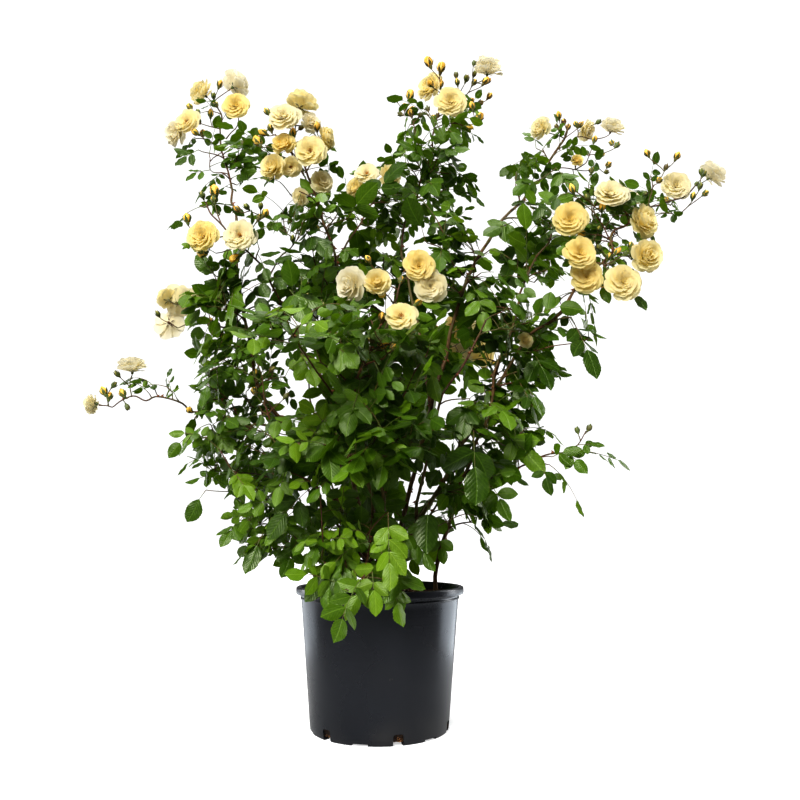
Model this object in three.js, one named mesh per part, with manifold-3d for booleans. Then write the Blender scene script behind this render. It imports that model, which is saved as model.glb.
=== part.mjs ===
// A pot-grown rose bush: a round nursery pot with its root ball, a short woody
// stock, long arching canes that lean outwards, leafy masses of foliage round
// them and sprays of double blooms carried above and beside the crown.
// Millimetres, +Z up. The origin is the centre of the pot's flat underside;
// +X is the side with the tall right-hand canes, +Y is the back of the plant.
import * as THREE from 'three';
import { mergeVertices } from 'three/addons/utils/BufferGeometryUtils.js';
import Module from 'manifold-3d';

// ---------------------------------------------------------------- dimensions
const POT_HEIGHT = 225; // ground to the top of the rolled rim
const RIM_RADIUS = 140; // outside of the rolled rim (a pot 280 mm across)
const NECK_RADIUS = 131.8; // wall just under the bead below the rim
const BASE_RADIUS = 112.6; // wall where it meets the ground
const WALL = 2.0; // moulded wall
const FLOOR = 4.6; // moulded floor
const LIP_HEIGHT = 12.5; // rolled rim, top to bottom
const BEAD_Z = 207; // the thin bead round the wall below the rim
const POT_SIDES = 36;
const DRAIN_COUNT = 6; // drain slots round the foot
const DRAIN_WIDTH = 16;
const DRAIN_HEIGHT = 17;
const DRAIN_START = 16; // degrees from the front, anticlockwise from above
const SCALLOP_WIDTH = 26; // shallow reliefs of the foot between the slots
const SCALLOP_HEIGHT = 3.4;
const SOIL_TOP = 212; // level of the compost
const GAP = 0.35; // clearance between touching pieces
const STOCK_RADIUS = 17; // the knobbly woody stock that the canes grow from
const STOCK_TOP = 248;
const FLARE_RADIUS = 25; // its flare at the compost
const CANE_FOOT = 4.4; // radius of a strong cane where it leaves the stock
const CANE_TIP = 2.7; // and where it ends in the foliage
const BOUGH_FOOT = 3.0; // radius of a flowering bough at its foot
const BOUGH_TIP = 1.9;
const LIMB_SIDES = 6;
const BEND_STEP = 72; // length of one straight step along a limb
const SOCKET = 16; // how far a limb reaches into the mass that it ends in

const LEAF = { color: 0x3f6b22, roughness: 0.55, metalness: 0 };
const BLOOM = { color: 0xf2dd84, roughness: 0.6, metalness: 0 };
const BARK = { color: 0x6b4a2c, roughness: 0.8, metalness: 0 };
const YOUNG = { color: 0x7d4a35, roughness: 0.7, metalness: 0 };
const PLASTIC = { color: 0x17181b, roughness: 0.32, metalness: 0 };
const COMPOST = { color: 0x2c2119, roughness: 0.95, metalness: 0 };

const wasm = await Module();
wasm.setup();
const { Manifold, Mesh } = wasm;

// ------------------------------------------------------------ solids in code
// A closed three.js geometry as a solid.
function solid(geometry) {
  const g = geometry.clone();
  for (const name of Object.keys(g.attributes))
    if (name !== 'position') g.deleteAttribute(name);
  const merged = mergeVertices(g, 1e-4);
  return new Manifold(
    new Mesh({
      numProp: 3,
      vertProperties: new Float32Array(merged.attributes.position.array),
      triVerts: new Uint32Array(merged.index.array),
    }),
  );
}

// The largest body of a solid, as a three.js geometry.
function geometryOf(body) {
  let best = null;
  for (const piece of body.decompose())
    if (!best || piece.volume() > best.volume()) best = piece;
  const m = best.simplify(0.3).getMesh();
  const g = new THREE.BufferGeometry();
  const position = new Float32Array(m.numVert * 3);
  for (let i = 0; i < m.numVert; i++)
    for (let k = 0; k < 3; k++)
      position[3 * i + k] = m.vertProperties[m.numProp * i + k];
  g.setAttribute('position', new THREE.BufferAttribute(position, 3));
  g.setIndex(Array.from(m.triVerts));
  g.computeVertexNormals();
  return g;
}

// A small seeded generator, so that every build gives the same plant.
function seeded(seed) {
  let a = (seed * 2654435761) >>> 0;
  return () => {
    a = (a + 0x6d2b79f5) >>> 0;
    let t = a;
    t = Math.imul(t ^ (t >>> 15), t | 1);
    t ^= t + Math.imul(t ^ (t >>> 7), t | 61);
    return ((t ^ (t >>> 14)) >>> 0) / 4294967296;
  };
}

const root = new THREE.Group();
function put(name, geometry, finish) {
  const mesh = new THREE.Mesh(geometry, new THREE.MeshStandardMaterial(finish));
  mesh.name = name;
  root.add(mesh);
}

// A profile of [radius, height] pairs turned round the upright axis.
function turned(profile, sides) {
  const points = profile.map(([r, z]) => new THREE.Vector2(r, z));
  return new THREE.LatheGeometry(points, sides).rotateX(Math.PI / 2);
}

// ------------------------------------------------------------------- the pot
const wallAt = (z) =>
  BASE_RADIUS + ((NECK_RADIUS - BASE_RADIUS) * z) / BEAD_Z;
const innerAt = (z) => wallAt(z) - WALL;
const lipBottom = POT_HEIGHT - LIP_HEIGHT;
const potProfile = [
  [0, 0],
  [BASE_RADIUS - 1.8, 0],
  [wallAt(2), 2],
  [wallAt(BEAD_Z - 1.6), BEAD_Z - 1.6],
  [NECK_RADIUS + 1.1, BEAD_Z],
  [NECK_RADIUS + 0.2, BEAD_Z + 1.8],
  [NECK_RADIUS + 0.7, lipBottom + 0.4],
  [RIM_RADIUS - 2.2, lipBottom],
  [RIM_RADIUS, lipBottom + 3.4],
  [RIM_RADIUS - 0.3, POT_HEIGHT - 3.2],
  [RIM_RADIUS - 2.4, POT_HEIGHT],
  [RIM_RADIUS - 5.2, POT_HEIGHT - 0.4],
  [innerAt(BEAD_Z), BEAD_Z - 3],
  [innerAt(FLOOR), FLOOR],
  [0, FLOOR],
];
let pot = solid(turned(potProfile, POT_SIDES));
// The lathe's first column of points lies on +Y after the turn, so a slot or a
// relief is a box set out along that direction and swung round to its place.
function roundTheFoot(width, height, degrees) {
  return solid(
    new THREE.BoxGeometry(width, 14, height)
      .translate(0, -(BASE_RADIUS - 1), height / 2 - 1)
      .rotateZ(THREE.MathUtils.degToRad(degrees)),
  );
}
for (let i = 0; i < DRAIN_COUNT; i++) {
  const at = DRAIN_START + (360 / DRAIN_COUNT) * i;
  pot = pot.subtract(roundTheFoot(DRAIN_WIDTH, DRAIN_HEIGHT + 1, at));
  pot = pot.subtract(
    roundTheFoot(SCALLOP_WIDTH, SCALLOP_HEIGHT + 1, at + 180 / DRAIN_COUNT),
  );
}
put('pot', geometryOf(pot), PLASTIC);

// The root ball fills the pot to the compost's flat top.
put(
  'root_ball',
  geometryOf(
    solid(
      turned(
        [
          [0, FLOOR + GAP],
          [innerAt(FLOOR) - GAP, FLOOR + GAP],
          [innerAt(SOIL_TOP) - GAP - 1.6, SOIL_TOP],
          [0, SOIL_TOP],
        ],
        POT_SIDES,
      ),
    ),
  ),
  COMPOST,
);

// Nothing that grows outside or above may stand in the pot's own space.
const keepClear = solid(
  turned(
    [
      [0, -5],
      [RIM_RADIUS + 0.6, -5],
      [RIM_RADIUS + 0.6, POT_HEIGHT + 0.6],
      [0, POT_HEIGHT + 0.6],
    ],
    POT_SIDES,
  ),
);

// ------------------------------------------------------- stock, canes, boughs
const stockProfile = [
  [0, SOIL_TOP + GAP],
  [FLARE_RADIUS, SOIL_TOP + GAP],
  [STOCK_RADIUS + 2, SOIL_TOP + 9],
  [STOCK_RADIUS, STOCK_TOP - 14],
  [STOCK_RADIUS - 2, STOCK_TOP - 5],
  [STOCK_RADIUS - 9, STOCK_TOP],
  [0, STOCK_TOP + 1],
];
function stockGeometry(grow) {
  const g = turned(
    stockProfile.map(([r, z]) => [r > 0 ? r + grow : 0, z + (z > SOIL_TOP + 1 ? grow : 0)]),
    12,
  );
  const p = g.attributes.position;
  for (let i = 0; i < p.count; i++) {
    const turn = Math.atan2(p.getY(i), p.getX(i));
    const knobbly = 1 + 0.1 * Math.sin(3 * turn + 0.7) + 0.06 * Math.sin(5 * turn);
    p.setX(i, p.getX(i) * knobbly);
    p.setY(i, p.getY(i) * knobbly);
  }
  return g;
}
const stock = solid(stockGeometry(0));
const stockCutter = solid(stockGeometry(0.5));

// One tapering limb along a smooth line through a few points. 'grow' widens it
// and lengthens both ends, for the pocket that it stands in.
function limb({ through, foot, tip }, grow = 0) {
  const line = new THREE.CatmullRomCurve3(
    through.map((p) => new THREE.Vector3(...p)),
    false,
    'centripetal',
  );
  const steps = Math.max(3, Math.round(line.getLength() / BEND_STEP));
  const section = new THREE.Shape();
  for (let i = 0; i < LIMB_SIDES; i++) {
    const a = (2 * Math.PI * i) / LIMB_SIDES;
    if (i === 0) section.moveTo(Math.cos(a), Math.sin(a));
    else section.lineTo(Math.cos(a), Math.sin(a));
  }
  section.closePath();
  const g = new THREE.ExtrudeGeometry(section, {
    steps,
    bevelEnabled: false,
    extrudePath: line,
  });
  const stations = line.getSpacedPoints(steps);
  const p = g.attributes.position;
  const v = new THREE.Vector3();
  for (let i = 0; i < p.count; i++) {
    v.fromBufferAttribute(p, i);
    let near = 0;
    for (let k = 1; k <= steps; k++)
      if (v.distanceToSquared(stations[k]) < v.distanceToSquared(stations[near]))
        near = k;
    const radius = foot + (tip - foot) * (near / steps) + grow;
    v.sub(stations[near]).multiplyScalar(radius).add(stations[near]);
    if (grow && (near === 0 || near === steps))
      v.addScaledVector(line.getTangentAt(near / steps), near ? grow : -grow);
    p.setXYZ(i, v.x, v.y, v.z);
  }
  return g;
}

// A strong cane leaves the stock at 'turn' degrees round it (0 is +X), rises
// to 'lean' mm out and 'rise' mm up, and bows on the way.
function cane(turn, through, foot = CANE_FOOT, tip = CANE_TIP) {
  const a = THREE.MathUtils.degToRad(turn);
  const from = [
    Math.cos(a) * (STOCK_RADIUS - 9),
    Math.sin(a) * (STOCK_RADIUS - 9),
    STOCK_TOP - 7,
  ];
  return { through: [from, ...through], foot, tip };
}
const CANES = {
  cane_left: cane(192, [[-52, -8, 325], [-120, -4, 435], [-206, 4, 552]]),
  cane_centre_left: cane(142, [[-34, 16, 340], [-64, 10, 500], [-90, -4, 688]]),
  cane_front: cane(262, [[-8, -62, 300], [-14, -112, 372], [-40, -146, 456]]),
  cane_centre_right: cane(42, [[38, 18, 345], [88, 8, 520], [138, 4, 722]]),
  cane_right: cane(350, [[60, -14, 325], [122, -20, 425], [192, -12, 552]]),
  cane_back: cane(95, [[4, 52, 330], [-4, 108, 450], [0, 152, 592]]),
};
// The separate cane at the right rises straight from the compost.
CANES.cane_outer_right = {
  through: [
    [95, 33, SOIL_TOP + GAP],
    [96, 33, 236],
    [108, 30, 290],
    [122, 26, 352],
    [146, 14, 410],
  ],
  foot: 3.6,
  tip: 3.1,
};

const bough = (...through) => ({ through, foot: BOUGH_FOOT, tip: BOUGH_TIP });
const BOUGHS = {
  bough_far_left: bough([-300, -6, 514], [-340, -18, 532], [-384, -28, 545]),
  bough_left_cluster: bough([-306, 30, 690], [-336, 50, 704], [-362, 62, 716]),
  bough_upper_left: bough([-262, -10, 790], [-270, -6, 890], [-302, 58, 1005], [-326, 84, 1112]),
  bough_second_left: bough([-84, -20, 790], [-104, -30, 862], [-130, -40, 945], [-152, -50, 985]),
  bough_top: bough([44, 50, 890], [60, 40, 950], [78, 40, 1000], [108, 50, 1112]),
  bough_upper_right: bough([200, 22, 850], [236, 42, 908], [312, 86, 1014], [368, 122, 1090]),
  bough_right_arm: bough([264, -48, 656], [296, -60, 676], [336, -74, 730]),
  bough_far_right: bough([438, -44, 848], [488, -4, 902], [546, 36, 950]),
  bough_low_right: bough([206, -14, 410], [244, -34, 422], [282, -48, 436]),
  bough_back_left: bough([-52, 226, 812], [-86, 280, 836], [-114, 322, 850]),
  bough_back_right: bough([84, 232, 680], [128, 284, 708], [158, 322, 722]),
};
const LIMBS = { ...CANES, ...BOUGHS };

// ---------------------------------------------------------- masses of foliage
// name, centre, half-sizes, lean in degrees (towards +X), facets, seed.
// Leafy masses first from the foot up, then the sprays of bloom.
const LEAFY = [
  ['foliage_skirt_front', [-20, -166, 232], [66, 25, 43], 0, 1, 11],
  ['foliage_foot_left', [-170, -6, 342], [84, 118, 84], -18, 2, 12],
  ['foliage_foot_right', [146, 4, 364], [62, 118, 92], 6, 1, 13],
  ['foliage_foot_front', [-28, -108, 308], [106, 98, 80], 0, 1, 14],
  ['foliage_foot_back', [-14, 118, 320], [112, 98, 88], 0, 1, 15],
  ['foliage_low_left', [-250, 0, 452], [98, 134, 90], -8, 1, 21],
  ['foliage_low_right', [186, 6, 486], [94, 134, 82], 8, 2, 22],
  ['foliage_low_front', [-44, -170, 452], [132, 116, 80], 0, 2, 23],
  ['foliage_low_back', [-20, 170, 480], [150, 132, 92], 0, 2, 24],
  ['foliage_mid_left', [-244, 4, 592], [104, 134, 76], -6, 2, 31],
  ['foliage_mid_right', [224, 12, 634], [102, 128, 92], 8, 2, 32],
  ['foliage_mid_front', [-26, -166, 590], [124, 112, 78], 0, 2, 33],
  ['foliage_mid_back', [-10, 176, 640], [152, 130, 96], 0, 2, 34],
  ['foliage_upper_left', [-258, -16, 728], [74, 104, 88], -6, 1, 41],
  ['foliage_upper_centre_left', [-104, -16, 752], [82, 110, 90], 0, 2, 42],
  ['foliage_upper_centre_right', [150, 0, 786], [88, 108, 92], 6, 1, 43],
  ['foliage_upper_right', [278, 30, 830], [74, 92, 118], 16, 1, 44],
  ['foliage_upper_back', [20, 166, 812], [142, 112, 98], 0, 2, 45],
  ['foliage_right_arm', [348, -78, 640], [36, 28, 52], 0, 1, 46],
  ['foliage_low_right_spray', [308, -50, 441], [64, 28, 30], -22, 1, 47],
  ['foliage_front_spray', [-112, -322, 574], [62, 84, 46], 0, 1, 48],
  ['foliage_second_left_stem', [-132, -28, 880], [84, 76, 78], 0, 1, 51],
  ['foliage_neck', [8, 50, 934], [96, 72, 70], 0, 1, 52],
  ['foliage_top_stem', [87, 40, 1001], [69, 60, 82], 8, 1, 53],
  ['foliage_upper_left_stem', [-304, 68, 1021], [54, 44, 60], -6, 1, 54],
  ['foliage_upper_right_stem', [276, 86, 1010], [68, 54, 50], 20, 1, 55],
];
const BLOOMS = [
  ['blooms_front', [42, -176, 688], [78, 72, 62], 0, 1, 61],
  ['blooms_left_pair', [-256, -116, 816], [78, 58, 58], 0, 1, 62],
  ['blooms_left_cluster', [-384, 64, 718], [48, 46, 56], 0, 1, 63],
  ['blooms_far_left_spray', [-430, -30, 558], [88, 38, 50], 0, 1, 64],
  ['blooms_upper_left', [-350, 90, 1152], [98, 56, 64], -22, 1, 65],
  ['blooms_second_left', [-150, -50, 1018], [80, 66, 80], 0, 1, 66],
  ['blooms_top', [126, 50, 1169], [106, 60, 73], -6, 1, 67],
  ['blooms_upper_right', [390, 128, 1120], [108, 56, 56], 0, 1, 68],
  ['blooms_right', [388, -74, 808], [96, 86, 106], 0, 2, 69],
  ['blooms_far_right', [588, 50, 972], [76, 46, 62], 0, 1, 70],
  ['blooms_back_left', [-130, 344, 858], [92, 64, 62], 0, 1, 71],
  ['blooms_back_right', [176, 344, 730], [94, 62, 60], 0, 1, 72],
];

// One closed, uneven solid: a faceted ball whose surface swells and dips
// towards a few seeded directions, stretched to its half-sizes and leaned.
function uneven([, centre, half, lean, detail, seed], grow = 0) {
  const random = seeded(seed);
  const swells = [];
  for (let i = 0; i < 9; i++) {
    const z = 2 * random() - 1;
    const a = 2 * Math.PI * random();
    const s = Math.sqrt(1 - z * z);
    swells.push([
      new THREE.Vector3(s * Math.cos(a), s * Math.sin(a), z),
      (random() - 0.42) * 0.48,
      0.09 + 0.17 * random(),
    ]);
  }
  const g = new THREE.IcosahedronGeometry(1, detail);
  g.deleteAttribute('normal');
  g.deleteAttribute('uv');
  const ball = mergeVertices(g, 1e-4);
  const p = ball.attributes.position;
  const v = new THREE.Vector3();
  for (let i = 0; i < p.count; i++) {
    v.fromBufferAttribute(p, i).normalize();
    let r = 0.98;
    for (const [towards, size, width] of swells)
      r += size * Math.exp((v.dot(towards) - 1) / width);
    v.multiplyScalar(r);
    p.setXYZ(i, v.x * half[0], v.y * half[1], v.z * half[2]);
  }
  ball.rotateY(THREE.MathUtils.degToRad(lean)).translate(...centre);
  if (grow) {
    ball.computeVertexNormals();
    const n = ball.attributes.normal;
    for (let i = 0; i < p.count; i++)
      p.setXYZ(
        i,
        p.getX(i) + n.getX(i) * grow,
        p.getY(i) + n.getY(i) * grow,
        p.getZ(i) + n.getZ(i) * grow,
      );
  }
  return ball;
}

// ------------------------------------------------------------------ assembly
put('stock', geometryOf(stock), BARK);

// A cane butts against the stock, so its foot is trimmed back to the stock.
const limbCutters = [];
for (const [name, spec] of Object.entries(LIMBS)) {
  const body = solid(limb(spec)).subtract(stockCutter);
  put(name, geometryOf(body), name.startsWith('cane') ? BARK : YOUNG);
  limbCutters.push(solid(limb(spec, 0.7)));
}

// Masses are made in the order listed. Each stands clear of the pot, has a
// pocket for every limb that enters it, and gives way to those made before it.
const made = [];
for (const [rows, finish] of [
  [BLOOMS, BLOOM],
  [LEAFY, LEAF],
])
  for (const row of rows) {
    let body = solid(uneven(row)).subtract(keepClear);
    for (const cutter of [...limbCutters, stockCutter, ...made])
      body = body.subtract(cutter);
    put(row[0], geometryOf(body), finish);
    made.push(solid(uneven(row, 0.8)));
  }

export default root;
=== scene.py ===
import math

import bpy
import numpy as np
from mathutils import Matrix, Vector
from mathutils.bvhtree import BVHTree


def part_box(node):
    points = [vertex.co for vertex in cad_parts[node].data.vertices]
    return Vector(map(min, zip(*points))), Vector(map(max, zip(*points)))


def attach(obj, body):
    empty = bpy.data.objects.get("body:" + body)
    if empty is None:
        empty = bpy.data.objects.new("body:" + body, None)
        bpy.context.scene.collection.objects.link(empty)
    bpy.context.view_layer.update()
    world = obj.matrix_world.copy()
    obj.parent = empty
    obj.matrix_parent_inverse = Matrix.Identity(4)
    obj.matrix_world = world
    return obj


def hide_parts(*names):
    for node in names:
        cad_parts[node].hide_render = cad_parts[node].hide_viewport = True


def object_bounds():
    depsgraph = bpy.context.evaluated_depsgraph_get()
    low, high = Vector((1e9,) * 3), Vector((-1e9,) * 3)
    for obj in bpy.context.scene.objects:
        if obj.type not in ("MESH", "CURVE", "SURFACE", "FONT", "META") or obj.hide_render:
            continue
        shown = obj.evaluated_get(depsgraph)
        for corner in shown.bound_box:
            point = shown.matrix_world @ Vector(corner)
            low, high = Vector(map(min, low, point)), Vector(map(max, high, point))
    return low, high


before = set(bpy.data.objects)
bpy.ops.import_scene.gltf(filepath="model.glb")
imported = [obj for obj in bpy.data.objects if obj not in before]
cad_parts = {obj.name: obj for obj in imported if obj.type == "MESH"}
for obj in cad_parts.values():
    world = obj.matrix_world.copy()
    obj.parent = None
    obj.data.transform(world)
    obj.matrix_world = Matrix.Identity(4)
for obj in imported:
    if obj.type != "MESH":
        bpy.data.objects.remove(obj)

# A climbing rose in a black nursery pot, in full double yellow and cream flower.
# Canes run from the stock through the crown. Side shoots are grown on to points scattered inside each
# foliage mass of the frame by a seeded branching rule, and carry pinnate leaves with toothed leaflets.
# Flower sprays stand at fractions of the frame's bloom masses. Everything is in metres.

CAD_BOX = [list(corner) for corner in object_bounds()]
NODES = sorted(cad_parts)
FOLIAGE = [n for n in NODES if n.startswith("foliage_")]
BLOOM_MASSES = [n for n in NODES if n.startswith("blooms_")]
CANES = [n for n in NODES if n.startswith("cane_")]
BOUGHS = [n for n in NODES if n.startswith("bough_")]
BOX = {n: tuple(np.array(c, float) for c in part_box(n)) for n in NODES}
UP = np.array([0.0, 0.0, 1.0])
MM = 0.001

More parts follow.
